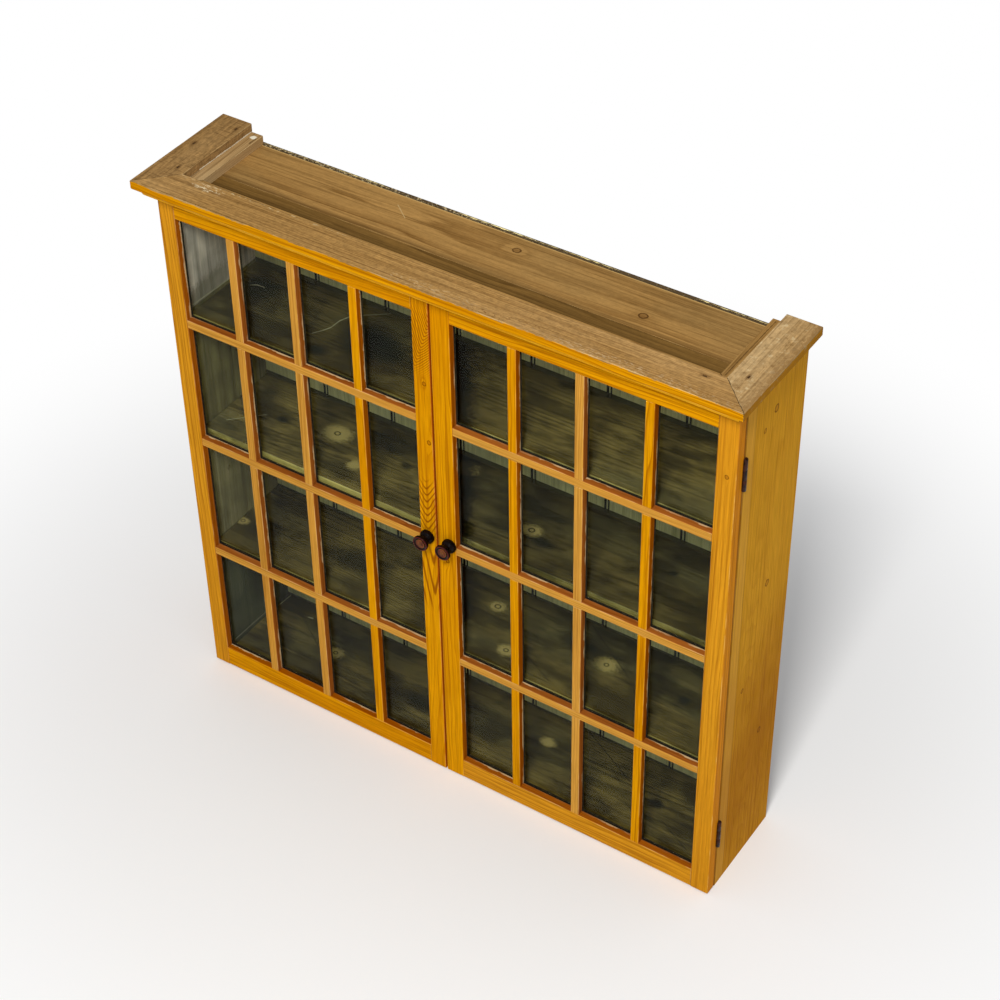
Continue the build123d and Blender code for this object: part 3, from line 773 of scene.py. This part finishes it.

# %% [markdown]
# ## The shelves
#
# The shelves and the floor of the case are stained nearly black, with a painted front edge. Their knots have stayed
# pale, with a small dark ring in the middle and a lighter halo round it. A crack with pale lips runs across the upper
# shelf, with a dark stain beside it, and fine dark lines cross the lower ones. A black slanting band near the middle
# of the three shelves is painted shadow of the meeting stiles. These marks are spots and strokes on the upper faces.

# %% Shelves
# The slanting black bands given last for the three shelves are painted shadow of the meeting stiles.
SHELF_MARKS = {
    "shelf_upper": dict(
        dark=[(-265, -34, 16, 12), (-190, 20, 70, 34), (-215, 46, 60, 26), (-440, 50, 40, 30)],
        strokes=[((-299, -1), (-290, 12), 0.9), ((-290, 12), (-282, 28), 1.3), ((-282, 28), (-281, 50), 1.2),
                 ((-281, 50), (-272, 72), 1.4), ((-272, 72), (-222, 110), 1.0), ((-466, 52), (-456, 58), 0.9),
                 ((-456, 58), (-442, 59), 1.0)],
        damp=[((-92, 112), (30, -66), 42)]),
    "shelf_middle": dict(
        pale=[(-297, 43, 26, 20), (-224, -10, 12, 10), (-61, 83, 22, 16), (114, 11, 17, 13)],
        dark=[(-399, 24, 10, 8), (-149, 35, 10, 8), (144, -6, 18, 12), (358, 45, 7, 6), (-200, 70, 60, 24)],
        rings=[(-297, 43, 5), (114, 11, 5)],
        strokes=[((-480, -30), (-430, 20), 1.0)],
        damp=[((-86, 108), (16, -58), 36)]),
    "shelf_lower": dict(
        pale=[(14, 58, 14, 11), (84, -24, 15, 12), (244, 37, 20, 15), (-494, 0, 12, 9)],
        dark=[(395, 35, 10, 8), (-260, 20, 50, 24), (180, 60, 40, 20)],
        rings=[(14, 58, 5), (84, -24, 4), (244, 37, 4), (-494, 0, 4)],
        cracks=[((176, 105), (297, 27)), ((120, -15), (182, -46))],
        damp=[((-108, 118), (-26, 6), 28)]),
    "bottom_board": dict(
        pale=[(-330, 30, 16, 12), (120, 50, 14, 10)],
        dark=[(354, 29, 13, 10), (-120, 10, 40, 20)],
        rings=[(354, 29, 5), (-330, 30, 4)],
        cracks=[((171, 110), (292, 47)), ((381, 1), (449, -34)), ((-488, 107), (-364, 24))],
        strokes=[((-496, 79), (-494, 110), 1.3), ((-430, 79), (-420, 81), 1.6)]),
}

# Where along x each shelf grows paler or darker, as (from, to, level before, level after).
SHELF_LEVELS = {"shelf_upper": (0, 250, 0.85, 1.5), "shelf_middle": (-230, 0, 1.45, 0.8),
                "shelf_lower": (-440, -210, 0.75, 1.2), "bottom_board": (-300, 0, 0.9, 1.15)}

# Each kind of mark in the order it is laid on, with its amount and tone.
# The black slanting bands are painted shadow of the meeting stiles.
MARK_KINDS = {"dark": (0.8, (14, 16, 12)), "pale": (0.85, (176, 152, 92)), "rings": (0.85, (34, 26, 14)),
              "damp": (0.9, (10, 10, 7)), "cracks": (0.85, (12, 10, 6)), "strokes": (0.8, (176, 168, 128))}
DARK_LINE_WIDTH = 1.2


def mark_mask(figure, kind, mark, top):
    """1 inside a mark, which is a spot (x, y, wide, deep), a ring (x, y, radius) or a line (start, end, width)."""
    if kind == "rings":
        x, y, radius = mark
        distance = far_from(figure["here"], (x, y, top), (radius, radius * 0.85, 0))
        return remap(absolute(minus(distance, 1.0)), 0.4, 0.15)
    if kind in ("dark", "pale"):
        x, y, *radii = mark
        return spot(figure, (x, y, top), (*radii, 0), 0.5 if kind == "dark" else 0.45)
    start, end, width = (*mark, DARK_LINE_WIDTH)[:3]
    return stroke(figure, (*start, top), (*end, top), width)


@painter
def shelf_marks(figure, mixed, node):
    """The blotches of one shelf's upper face, and its knots, stains, dark lines and the painted shadow of the stiles.
    """
    low, high, *levels = SHELF_LEVELS[node]
    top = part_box(node)[1][2] * 1000
    mixed = shade(mixed, remap(noise(figure["place"], 16, 4, 0.65, (1, 1, 0.5)), 0.36, 0.64, 0.45, 1.6))
    mixed = shade(mixed, remap(part_of("x"), low / 1000, high / 1000, *levels))
    for kind, (amount, tone) in MARK_KINDS.items():
        for mark in SHELF_MARKS[node].get(kind, []):
            mixed = laid(mixed, mark_mask(figure, kind, mark, top), amount, colour(*tone))
    return mixed


def painted_front(figure):
    return looks("y", -1)


for node in SHELF_MARKS:
    finish = pine("stained_" + node, node, [(STAINED, None), (FRONT_PAINT, painted_front)], rough=0.55, shine=0.2,
                  overs=[shelf_marks(node)], mottle=0.25, ring_mm=3.9, index=1.12)
    eased(node, finish, 0.8)
print("shelves:", list(SHELF_MARKS))

# %% [markdown]
# ## The back
#
# The back is eight tongued and grooved boards. Inside they are painted, and the paint is lifted about four times as
# painted light. Each bead gets a painted highlight, the quirk beside it a near-black line of painted shade, and the
# joint a dark line. A dark band is painted a little way up them above each shelf, with a black line along its top.
# Their upper ends were sawn off roughly, so the top of the cabinet ends in a ragged dark edge with a few pale
# splinters. The ends are cut into short pieces here, and each point is moved a little at random.

# %% Back boards
@painter
def joints_and_painted_light(figure, mixed, node):
    left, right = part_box(node)[0][0] * 1000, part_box(node)[1][0] * 1000 - 5.5
    inside = looks("y", -1)
    # Painted light: the paint inside is lifted about four times.
    pale = blend(inside, (1, 1, 1, 1), (4.0, 3.7, 3.0, 1))
    mixed = blend(1.0, mixed, pale, "MULTIPLY")
    # Painted highlight along each bead.
    bead_highlight = times(band("x", right - 4.6, right - 1.6, 0.5), inside)
    mixed = laid(mixed, bead_highlight, 0.5, colour(220, 212, 176))
    # Painted shade: a near-black line in the quirk beside each bead, and a dark line in the joint.
    quirk_shade = band("x", right - 8.4, right - 5.4, 0.3)
    joint = larger(band("x", right - 1.6, right + 6, 0.3), band("x", left - 1, left + 1.6, 0.3))
    lines = times(larger(quirk_shade, joint), band("y", 100, 116))
    mixed = laid(mixed, lines, 0.97, colour(6, 6, 3))
    for top, rise in ((UPPER, 9.5), (MIDDLE, 9), (LOWER, 5), (CASE_FLOOR, 5)):
        stain = times(band("z", top - 3, top + rise, 0.5), band("y", 100, 116))
        mixed = laid(mixed, stain, 0.96, colour(62, 52, 28))
        line = times(band("z", top + rise - 0.8, top + rise + 1.0, 0.4), inside)
        mixed = laid(mixed, line, 0.85, colour(8, 8, 4))
    end = looks("z", 1)
    chips = remap(noise(figure["place"], 190, 4, 0.7), 0.54, 0.6)
    chips = times(chips, remap(part_of("x"), -0.15, 0.1, 0.8, 0.15))
    torn = blend(chips, colour(82, 66, 44), colour(196, 176, 132))
    return blend(end, mixed, torn)


for number in range(1, 9):
    node = f"back_board_{number}"
    finish = pine("paint_" + node, node, [(DIRT_AND_SHADE, None), (PAINT, painted_front)], rough=0.6,
                  overs=[joints_and_painted_light(node)])
    board = eased(node, finish, 0.5)
    top = max(vertex.co.z for vertex in board.data.vertices)
    select_edges(board, lambda a, b: min(a.z, b.z) > top - 0.00001 and abs(a.x - b.x) > 0.02)
    bpy.ops.mesh.subdivide(number_cuts=max(2, int(board.dimensions.x / 0.006)))
    bpy.ops.mesh.select_mode(type="VERT")
    bpy.ops.transform.resize(value=(1, 0.7, 1), center_override=(0, 0.1150, 0))
    bpy.ops.transform.translate(value=(0, 0, -0.0011))
    bpy.ops.transform.vertex_random(offset=0.001, seed=number)
    mode("OBJECT")
print("back boards cut ragged, top at", round(top, 4))

# %% [markdown]
# ## The top
#
# Two boards make the top. Nobody oiled or cleaned them: the narrow front one, behind the cornice, is the darkest, with
# dirt and with painted shade that deepens towards the cornice, and the wide rear one has greyed evenly, with long dark
# streaks, two small knots and a scratch.

# %% Top boards
TOP_Z, BATTEN_TOP, CAP_TOP = 1024, 1040, 1056  # upper faces


def top_marks(figure, mixed):
    """Dirt along the edges, a scratch and the pale rear arris of the back board of the top."""
    dirt = band("y", 4.75, 13, 5)
    mixed = laid(mixed, dirt, 0.45, colour(84, 60, 28))
    scratch = stroke(figure, (-177.6, 85.1, TOP_Z), (-147.8, 61.4, TOP_Z), 1.0)
    mixed = laid(mixed, scratch, 0.5, colour(206, 182, 132))
    return laid(mixed, band("y", 108.4, 112, 1), 0.6, colour(206, 168, 104))


def cornice_shade(figure, mixed):
    """Painted shade on the front top board, darkest just behind the cornice."""
    near = remap(part_of("y"), -0.04, -0.005, 0.75, 0.15)
    return blend(near, mixed, colour(62, 44, 20))


# The front top board: dirty, with painted shade from the cornice.
eased("top_board_front",
      pine("dusty_top_front", "top_board_front", [(DIRT_AND_SHADE, None)], rough=0.8, pith=(80, 60), tilt=(0.2, 0.3),
           shine=0.05, ring_mm=7, overs=[cornice_shade], mottle=0.12), 0.8)
eased("top_board_back",
      pine("dusty_top_back", "top_board_back", [(DUSTY, None)], rough=0.8, pith=(110, 20), tilt=(0.5, 0.4),
           shine=0.05, ring_mm=8.5, overs=[top_marks], mottle=0.12,
           knots=((45, 79.8, TOP_Z, 5.5, "z"), (290.7, 38.5, TOP_Z, 6, "z"))), 0.8)
print("top boards eased")

# %% [markdown]
# ## The cornice
#
# A wider cap lies on a frame of battens, and both are mitred at the front corners. Varnish covers only their outer and
# under faces, up to a ragged line at the upper arris, and on the battens it is made brighter as painted light
# against the shade under the cap. A pale line of painted highlight runs along the left cap's inner arris and a dark
# line of painted shade along the front cap's inner edge. The mitres have opened a little and filled with dirt, and
# the right return is the palest. Its ends are rounded by wear, so the rear corners get a wide bevel of their own.

# %% Cornice
OUTWARD = {"front": ("y", -1), "left": ("x", -1), "right": ("x", 1)}
MITRE = 0.42175


def varnished_outside(node, axis, sign):
    """1 on the outer and under faces, on the cap up to a ragged line just below the top arris."""
    low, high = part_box(node)
    top = high[2]
    outermost = (high if sign > 0 else low)["xyz".index(axis)] * sign

    def mask(figure):
        outside = larger(looks(axis, sign), looks("z", -1))
        if node.startswith("batten"):
            outward = times(part_of(axis), sign)
            return larger(outside, maths("GREATER_THAN", outward, outermost - 0.003))
        ragged = remap(noise(figure["place"], 90, 4, 0.75, (1, 1, 0.35)), 0.3, 0.7, -0.0032, 0.0014)
        lower = remap(minus(part_of("z"), ragged), top - 0.0005, top + 0.0002, 1.0, 0.0)
        return times(lower, outside)
    return mask


def mitre_line(figure, mixed):
    """A dark line where the strips meet at a mitre, in the plane |x| + y = MITRE."""
    from_mitre = plus(absolute(part_of("x")), part_of("y"))
    from_mitre = absolute(minus(from_mitre, MITRE))
    width = remap(noise(figure["place"], 60, 2), 0.35, 0.65, 0.0004, 0.0014)
    line = maths("LESS_THAN", from_mitre, width)
    return laid(mixed, line, 0.8, colour(58, 38, 16))


@painter
def scuff_and_highlight(figure, mixed, start, end, width, tone, amount=0.8):
    """A pale or dark straight mark: scuffs, and on the cap the lines of painted highlight and shade at its inner edges.
    """
    mark = stroke(figure, start, end, width)
    return laid(mixed, mark, amount, tone)


def saw_scratches(figure, mixed):
    """Fine scratches across the grain."""
    fine = noise(figure["place"], 420, 2, 0.6, (0.08, 0.08, 1))
    where = remap(noise(figure["place"], 12, 2), 0.4, 0.6)
    dark = times(remap(fine, 0.52, 0.64, 0.0, 0.5), where)
    return blend(dark, mixed, colour(96, 66, 34))


def blotches(figure, mixed):
    """Large pale and dark blotches, such as damp leaves on bare wood."""
    large = noise(figure["place"], 60, 5, 0.75)
    mixed = blend(remap(large, 0.54, 0.68, 0.0, 0.6), mixed, colour(216, 194, 150))
    mixed = blend(remap(large, 0.46, 0.36, 0.0, 0.5), mixed, colour(112, 80, 40))
    edge = plus(part_of("x"), times(minus(large, 0.5), 0.05))
    return blend(remap(edge, 0.531, 0.539, 0.0, 0.6), mixed, colour(120, 84, 38))


@painter
def flecks(figure, mixed, place, radii, tone, amount=0.85):
    """Small torn flecks within a patch of an upper face."""
    mask = remap(noise(figure["place"], 300, 3, 0.7, (1, 1, 0.4)), 0.52, 0.62)
    mask = times(mask, spot(figure, place, radii, 0.5))
    mask = times(mask, looks("z", 1))
    return laid(mixed, mask, amount, tone)


@painter
def nail_stain(figure, mixed, places):
    """Iron stains the wood round each cut nail, further along the grain."""
    for x, y, turn in places:
        mark = spot(figure, (x, y, CAP_TOP), (7, 3.6, 0) if turn else (3.6, 7, 0), 0.6)
        mixed = laid(mixed, mark, 0.55, colour(74, 44, 20))
    return mixed


NAILS = {"cap_front": [(455.7, -75.2, True)],
         "cap_left": [(-501.6, -49.5, False), (-524.6, 18.5, False), (-494, 87, False)],
         "cap_right": [(508, -44.8, False)]}
CORNICE = {
    "cap_front": dict(tone=WEATHERED, ring_mm=3.4, pith=(60, 150), tilt=(0.1, 0.15), mottle=0.26, line=0.5,
                      streak=0.3, ring=1.35,
                      overs=[flecks((-420, -73, CAP_TOP), (26, 9, 0), colour(228, 208, 168)),
                             flecks((-340, -63, CAP_TOP), (150, 3.5, 0), colour(206, 180, 134)),
                             flecks((100, -113, CAP_TOP), (60, 6, 0), colour(112, 74, 26)),
                             flecks((190, -108, CAP_TOP), (50, 9, 0), colour(116, 78, 30), 0.6),
                             flecks((360, -112, CAP_TOP), (170, 8, 0), colour(210, 182, 142), 0.45),
                             flecks((20, -108, CAP_TOP), (80, 9, 0), colour(206, 178, 134), 0.45),
                             # Painted shade: a dark line along the front cap's inner edge.
                             scuff_and_highlight((-455, -62.5, CAP_TOP), (-300, -62.5, CAP_TOP), 1.2, colour(74, 50, 24), 0.6),
                             scuff_and_highlight((-520, -117, CAP_TOP), (-300, -117.5, CAP_TOP), 1.2, colour(90, 62, 26), 0.6)]),
    "cap_left": dict(tone=DARK_WEATHERED, ring_mm=4.0, pith=(50, 120), mottle=0.34, line=0.4, streak=0.3,
                     overs=[saw_scratches,
                            # Painted highlight: a pale line along the left cap's inner lower arris.
                            scuff_and_highlight((-483, 112, 1041), (-483, -20, 1041), 2.6, colour(236, 226, 200), 0.9),
                            scuff_and_highlight((-483, -20, 1041), (-483, -58, 1041), 1.2, colour(200, 180, 140), 0.6)]),
    "cap_right": dict(tone=PALE_WEATHERED, ring_mm=4.5, pith=(50, 120), mottle=0.24, line=0.4, streak=0.3,
                      overs=[blotches]),
    "batten_front": dict(tone=DUSTY, ring_mm=4.0),
    "batten_left": dict(tone=PALE_WEATHERED, ring_mm=4.0, streak=0.2, overs=[
        lambda figure, mixed: blend(spot(figure, (-472, 101, BATTEN_TOP), (5.5, 4.5, 0), 0.25), mixed,
                                    colour(236, 228, 204)),
        scuff_and_highlight((-466, 100, BATTEN_TOP), (-466, 84, BATTEN_TOP), 2.0, colour(70, 44, 18), 0.7)]),
    "batten_right": dict(tone=DUSTY, ring_mm=3.4, line=0.6, overs=[
        scuff_and_highlight((469, 108, BATTEN_TOP), (469, -40, BATTEN_TOP), 1.5, colour(74, 50, 22), 0.7),
        scuff_and_highlight((478, 108, BATTEN_TOP), (478, -40, BATTEN_TOP), 1.2, colour(84, 58, 26), 0.6)]),
}
bpy.context.tool_settings.mesh_select_mode = (False, True, False)  # edges alone
for node, settings in CORNICE.items():
    layer, part = node.split("_")
    tone = settings.pop("tone")
    varnish = BATTEN_VARNISH_PAINTED_LIGHT if layer == "batten" else VARNISH
    settings["overs"] = settings.get("overs", []) + [nail_stain(NAILS.get(node, [])), mitre_line]
    finish = pine("weathered_" + node, node, [(tone, None), (varnish, varnished_outside(node, *OUTWARD[part]))],
                  rough=0.75, relief=0.5, shine=0.06, index=1.15, sheen=(1.0, 0.86, 0.6, 1.0), wander=8, **settings)
    strip = eased(node, finish, 1.6 if layer == "cap" else 1.2)
    if part == "front":
        continue
    corner_x = {"cap_left": -0.483, "cap_right": 0.5415, "batten_left": -0.462, "batten_right": 0.530}[node]
    back = max(vertex.co.y for vertex in strip.data.vertices)

    def at_corner(first, second):
        near = all(abs(point.x - corner_x) < 0.0014 and point.y > back - 0.0014 for point in (first, second))
        return near and abs(first.z - second.z) > 0.006
    chosen = select_edges(strip, at_corner)
    bpy.ops.mesh.bevel(offset=0.004, segments=3, affect="EDGES")
    mode("OBJECT")
    print(node, "rounded edges:", chosen)

# %% [markdown]
# ## Nails in the cap
#
# The cap is held down by cut nails, whose heads are narrow blocks along the grain, driven just below the surface and
# black with rust. A hole is cut for each head, and the head itself is a small block with a tapered top. One is
# modelled and the others are copies of it.

# %% Cut nails
def added(add, name, **settings):
    """A new mesh of a basic kind, with its place, turn and scale carried into the mesh."""
    bpy.ops.object.select_all(action="DESELECT")
    add(**settings)
    bpy.context.object.name = name
    bpy.ops.object.transform_apply(location=True, rotation=True, scale=True)
    return bpy.context.object


def box_piece(name, size, place, ease=0.0):
    """A block with eased edges, of the given size in millimetres, in place in its mesh."""
    piece = added(bpy.ops.mesh.primitive_cube_add, name, size=1, location=metres(place), scale=metres(size))
    if ease:
        mode("EDIT")
        bpy.ops.mesh.select_all(action="SELECT")
        bpy.ops.mesh.bevel(offset=ease / 1000, segments=2, affect="EDGES")
        mode("OBJECT")
    return piece


def inset_top(piece, *steps):
    """Insets the upward face of a piece by steps of (thickness, depth), in metres."""
    mode("EDIT")
    bpy.ops.mesh.select_all(action="DESELECT")
    mode("OBJECT")
    piece.data.polygons.foreach_set("select", [face.normal.z > 0.9 for face in piece.data.polygons])
    mode("EDIT")
    bpy.ops.mesh.select_mode(type="FACE")
    for thickness, depth in steps:
        bpy.ops.mesh.inset(thickness=thickness, depth=depth)
    mode("OBJECT")


def copied(piece, name, place, turn=(0, 0, 0)):
    """A copy with its own mesh, turned about the origin and moved, both in the mesh. Place is in millimetres."""
    twin = piece.copy()
    twin.data = piece.data.copy()
    twin.name = name
    bpy.context.scene.collection.objects.link(twin)
    twin.location = metres(place)
    twin.rotation_euler = turn
    only(twin)
    bpy.ops.object.transform_apply(location=True, rotation=True, scale=True)
    return twin


def joined(pieces, name):
    bpy.ops.object.select_all(action="DESELECT")
    for piece in pieces:
        piece.select_set(True)
    bpy.context.view_layer.objects.active = pieces[0]
    if len(pieces) > 1:
        bpy.ops.object.join()
    pieces[0].name = pieces[0].data.name = name
    return pieces[0]


def cut_away(piece, cutter):
    """Cuts one solid out of another, and removes the cutter."""
    cut = piece.modifiers.new("cut", "BOOLEAN")
    cut.operation = "DIFFERENCE"
    cut.solver = "EXACT"
    cut.object = cutter
    only(piece)
    bpy.ops.object.modifier_apply(modifier="cut")
    bpy.data.objects.remove(cutter)


def metal(name, tone, second, roughness, metallic=1.0, scale=260):
    """Mottled metal, or anything else that has two tones and a fine rough surface."""
    finish, shader = new_finish(name)
    mottled = remap(noise(object_place(), scale, 4, 0.6), 0.35, 0.65)
    fill(shader, {"Base Color": blend(mottled, tone, second), "Metallic": metallic,
                  "Roughness": remap(mottled, 0, 1, roughness - 0.1, roughness + 0.15),
                  "Normal": bumped(0.3, 0.0004, mottled)})
    return finish


rusty = metal("rusty_iron", colour(40, 30, 24), colour(84, 52, 32), 0.7, 0.6)
nail = box_piece("cut_nail", (5.6, 2.2, 2.0), (0, 0, 0))
inset_top(nail, (0.0004, 0.0002))
nail.data.materials.append(rusty)
for node, places in NAILS.items():
    board = bpy.data.objects[node + "_board"]
    heads, cutters = [], []
    for number, (x, y, along_x) in enumerate(places):
        turn = (0, 0, 0.06 if along_x else math.pi / 2 - 0.08)
        heads.append(copied(nail, f"{node}_nail_{number}", (x, y, CAP_TOP - 2.2), turn))
        cutter = box_piece("cutter", (6.4, 2.9, 4.0), (0, 0, 0))
        cutters.append(copied(cutter, f"cutter_{number}", (x, y, CAP_TOP - 0.6), turn))
        bpy.data.objects.remove(cutter)
    cut_away(board, joined(cutters, "cutters"))
    heads = joined(heads, node + "_nails")
    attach(heads, body_name(node))
    print(heads.name, len(places))
bpy.data.objects.remove(nail)

# %% [markdown]
# ## The glass and its putty
#
# Old window glass is slightly wavy and a little green, and it is seen here against a dark inside, so what matters most
# is how much it mirrors. Each pane lets light through to the shelves, which a plain glass shader would block
# unless caustics were traced, so shadow rays pass it as if it were a pale filter. The putty behind is made nearly
# black, partly for dirt and partly as painted shade behind the bars.

# %% Glass and putty
glass, shader = new_finish("window_glass")
fill(shader, {"Base Color": (0.90, 0.97, 0.93, 1), "Roughness": 0.02, "IOR": 1.11,
              "Specular Tint": (1.0, 0.94, 0.74, 1.0), "Transmission Weight": 1.0,
              "Normal": bumped(0.12, 0.002, noise(object_place(), 11, 0))})
path = put("LightPath").outputs
unseen = larger(path["Is Shadow Ray"], path["Is Diffuse Ray"])
cover(unseen, shader, put("BsdfTransparent", {"Color": (0.9, 0.95, 0.92, 1)}))
# The putty is nearly black: dirt, and painted shade behind the bars.
putty_finish = metal("putty", colour(58, 46, 30), colour(28, 22, 16), 0.7, 0.0)


def finish_nodes(start, finish):
    names = [node for node in frame["nodes"] if node.startswith(start)]
    for node in names:
        frame["nodes"][node].data.materials.clear()
        frame["nodes"][node].data.materials.append(finish)
    print(finish.name, len(names))


finish_nodes("glass", glass)
finish_nodes("putty", putty_finish)

# %% [markdown]
# ## The knobs
#
# The two knobs were turned from a dark hardwood and polished nearly black. Each has a rounded rose against the door, a
# narrow waist, and a wide face with a rolled rim round a small domed inlay of redder wood. A turning grows from
# a disc: the disc is extruded along the axis and made wider or narrower at every step of the profile. A spin of a drawn
# line gives the same shape, but the steps are easier to follow as numbers.

# %% Knobs
def turned(name, profile, place, sides=48):
    """A turning on an axis along -Y. The profile is (distance from the door, radius) in millimetres."""
    x, y, z = metres(place)
    piece = added(bpy.ops.mesh.primitive_circle_add, name, vertices=sides, radius=profile[0][1] / 1000,
                  fill_type="NGON", location=(x, y - profile[0][0] / 1000, z), rotation=(math.pi / 2, 0, 0))
    piece.data.name = name
    mode("EDIT")
    bpy.ops.mesh.select_all(action="SELECT")
    for (reach, radius), (next_reach, next_radius) in zip(profile, profile[1:]):
        bpy.ops.mesh.extrude_region_move(TRANSFORM_OT_translate={"value": (0, (reach - next_reach) / 1000, 0)})
        bpy.ops.transform.resize(value=(next_radius / radius, 1, next_radius / radius),
                                 center_override=(x, y - next_reach / 1000, z))
    bpy.ops.mesh.select_all(action="SELECT")
    bpy.ops.mesh.normals_make_consistent(inside=False)
    mode("OBJECT")
    bpy.ops.object.shade_smooth_by_angle(angle=math.radians(40))
    return piece


# Profiles, as (distance from the door, radius).
KNOB = [(-16, 5), (-0.2, 5), (0.02, 11.4), (1.2, 12.7), (3.5, 13), (6.5, 12.6), (9, 11.4), (11.5, 9.6), (13.8, 8.9),
        (15.6, 9.2), (17.6, 10.8), (19.2, 13.2), (20, 13.9), (21.5, 14), (23.6, 13.9), (24.7, 13.2), (25, 12.2),
        (24.6, 11.2), (23.9, 10.4), (23.6, 9.4), (23.4, 8.6), (23.05, 8.55)]
INLAY = [(23.02, 8.45), (24.2, 8.4), (24.6, 7.8), (24.4, 6.8), (24.5, 6), (24.9, 2.2), (24.95, 0.6)]
KNOB_PARTS = (("knob", KNOB, colour(7, 4, 4), colour(19, 8, 6), 0.0125),
              ("knob_inlay", INLAY, colour(118, 68, 26), colour(62, 32, 14), 0.006))


def polished(name, dark, red, centre, rim_radius):
    """Dark polished wood, redder where handling has worn the rim."""
    finish = metal(name, dark, red, 0.22, 0.0, 140)
    shader = tree.nodes["Principled BSDF"]
    base = shader.inputs["Base Color"].links[0].from_socket
    around = length(vector("MULTIPLY", vector("SUBTRACT", object_place(), centre), (1, 0, 1)))
    rim = remap(absolute(minus(around, rim_radius)), 0.0016, 0.0004)
    rim = times(rim, remap(part_of("y"), centre[1] - 0.0235, centre[1] - 0.0225, 1.0, 0.0))
    fill(shader, {"Base Color": laid(base, rim, 0.6, colour(96, 26, 18)), "IOR": 1.16, "Coat Weight": 0.06,
                  "Coat Roughness": 0.1})
    return finish


for hand in ("left", "right"):
    low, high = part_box("knob_inlay_" + hand)
    centre = ((low[0] + high[0]) / 2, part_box("meeting_stile_" + hand)[0][1], (low[2] + high[2]) / 2)
    place = tuple(part * 1000 for part in centre)
    for kind, profile, dark, red, rim_radius in KNOB_PARTS:
        node = f"{kind}_{hand}"
        piece = turned("turned_" + node, profile, place)
        piece.data.materials.append(polished(node + "_wood", dark, red, centre, rim_radius))
        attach(piece, body_name(node))
        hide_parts(node)
    print("knob", hand, "at", [round(part, 1) for part in place])

# %% [markdown]
# ## Hinges and screws
#
# The hinges are iron butts, blackened by age. Their leaves lie in beds in the edges of door and case and only the
# knuckles show while the doors are shut. With a door open, three countersunk screws show in each leaf, each with a
# slot across its slightly domed head. One screw is modelled and copied, every copy with its slot turned its own
# way, as a joiner leaves them. The leaves get countersinks a little wider than the heads.

# %% Hinges
iron = metal("hinge_iron", colour(20, 16, 15), colour(74, 38, 26), 0.5, 0.7, 160)
steel = metal("screw_steel", colour(92, 86, 76), colour(62, 50, 40), 0.45)

screw = added(bpy.ops.mesh.primitive_cylinder_add, "screw", vertices=28, radius=0.0034, depth=0.0016,
              location=(0, 0, -0.0008))
inset_top(screw, (0.0007, 0.00018), (0.0010, 0.00010))
cut_away(screw, box_piece("slot", (9, 0.9, 1.6), (0, 0, 0.05)))
screw.data.materials.append(steel)
only(screw)
bpy.ops.object.shade_smooth_by_angle(angle=math.radians(35))


def screws_at(name, places, body, into):
    """Screws in a face that looks along into: ("y", 1), ("y", -1) or ("z", -1)."""
    turn = {("y", 1): (-math.pi / 2, 0, 0), ("y", -1): (math.pi / 2, 0, 0), ("z", -1): (math.pi, 0, 0)}[into]
    made = []
    for number, place in enumerate(places):
        twin = copied(screw, f"{name}_{number}", (0, 0, 0), (0, 0, chance(f"{name}{number}", 0, math.pi)))
        made.append(copied(twin, f"{name}_at_{number}", place, turn))
        bpy.data.objects.remove(twin)
    made = joined(made, name)
    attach(made, body)
    return made


def sink(place, toward):
    """A cutter for a countersink in a face at place, which looks along y towards +1 or -1."""
    x, y, z = place
    return added(bpy.ops.mesh.primitive_cone_add, "sink", vertices=28, radius1=0.0024, radius2=0.0039, depth=0.0014,
                 location=metres((x, y - toward * 0.65, z)), rotation=(-toward * math.pi / 2, 0, 0))


HINGE_ZS = (132.0, 899.0)
LEAF_SCREWS = ((510.5, -21), (508.5, 0), (510.5, 21))  # x, and z from the middle of the leaf
CASE_FRONT, DOOR_BACK = -62.75, -64.25
for hand, sign in (("left", -1), ("right", 1)):
    for kind, toward in (("case", -1), ("door", 1)):
        node = f"hinge_{kind}_leaves_{hand}"
        face_y = CASE_FRONT if kind == "case" else DOOR_BACK
        leaf = eased(node, iron, 0.22)
        places = [(sign * x, face_y, z + step) for z in HINGE_ZS for x, step in LEAF_SCREWS]
        cut_away(leaf, joined([sink(place, toward) for place in places], "sinks"))
        screws_at(f"screws_{node}", [(x, y - toward * 0.12, z) for x, y, z in places], body_name(node), ("y", toward))
        print(node, len(leaf.data.polygons), "faces,", len(places), "screws")

# %% [markdown]
# ## Catches
#
# A small magnetic catch behind the top rail holds each door: a brown case with two steel pole pieces at its front, and
# a plate screwed to the back of the door. The cases are held up by two screws from below.

# %% Catches
catch_brown = metal("catch_case", colour(112, 80, 46), colour(88, 60, 34), 0.4, 0.0)
plate_steel = metal("strike_steel", colour(156, 152, 144), colour(124, 116, 104), 0.35)
for hand in ("left", "right"):
    node = "catch_" + hand
    low, high = ([part * 1000 for part in corner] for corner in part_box(node))
    middle = (low[0] + high[0]) / 2
    eased(node, catch_brown, 0.7)
    poles = [box_piece(f"pole_{n}", (16, 2.4, 2.2), (middle, low[1] + 1.05, low[2] + z), 0.2)
             for n, z in enumerate((4.2, 8.8))]
    poles = joined(poles, f"catch_poles_{hand}")
    poles.data.materials.append(plate_steel)
    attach(poles, body_name(node))
    screws_at(f"screws_catch_{hand}", [(middle + step, low[1] + 9.5, low[2] - 0.1) for step in (-8, 8)],
              body_name(node), ("z", -1))
    node = "strike_plate_" + hand
    low, high = ([part * 1000 for part in corner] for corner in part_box(node))
    strike = eased(node, plate_steel, 0.3)
    x, y, z = (low[0] + high[0]) / 2, high[1], (low[2] + high[2]) / 2
    cut_away(strike, sink((x, y, z), 1))
    screws_at(f"screw_strike_{hand}", [(x, y - 0.35, z)], body_name(node), ("y", 1))
print("catches and plates finished")
bpy.data.objects.remove(screw)
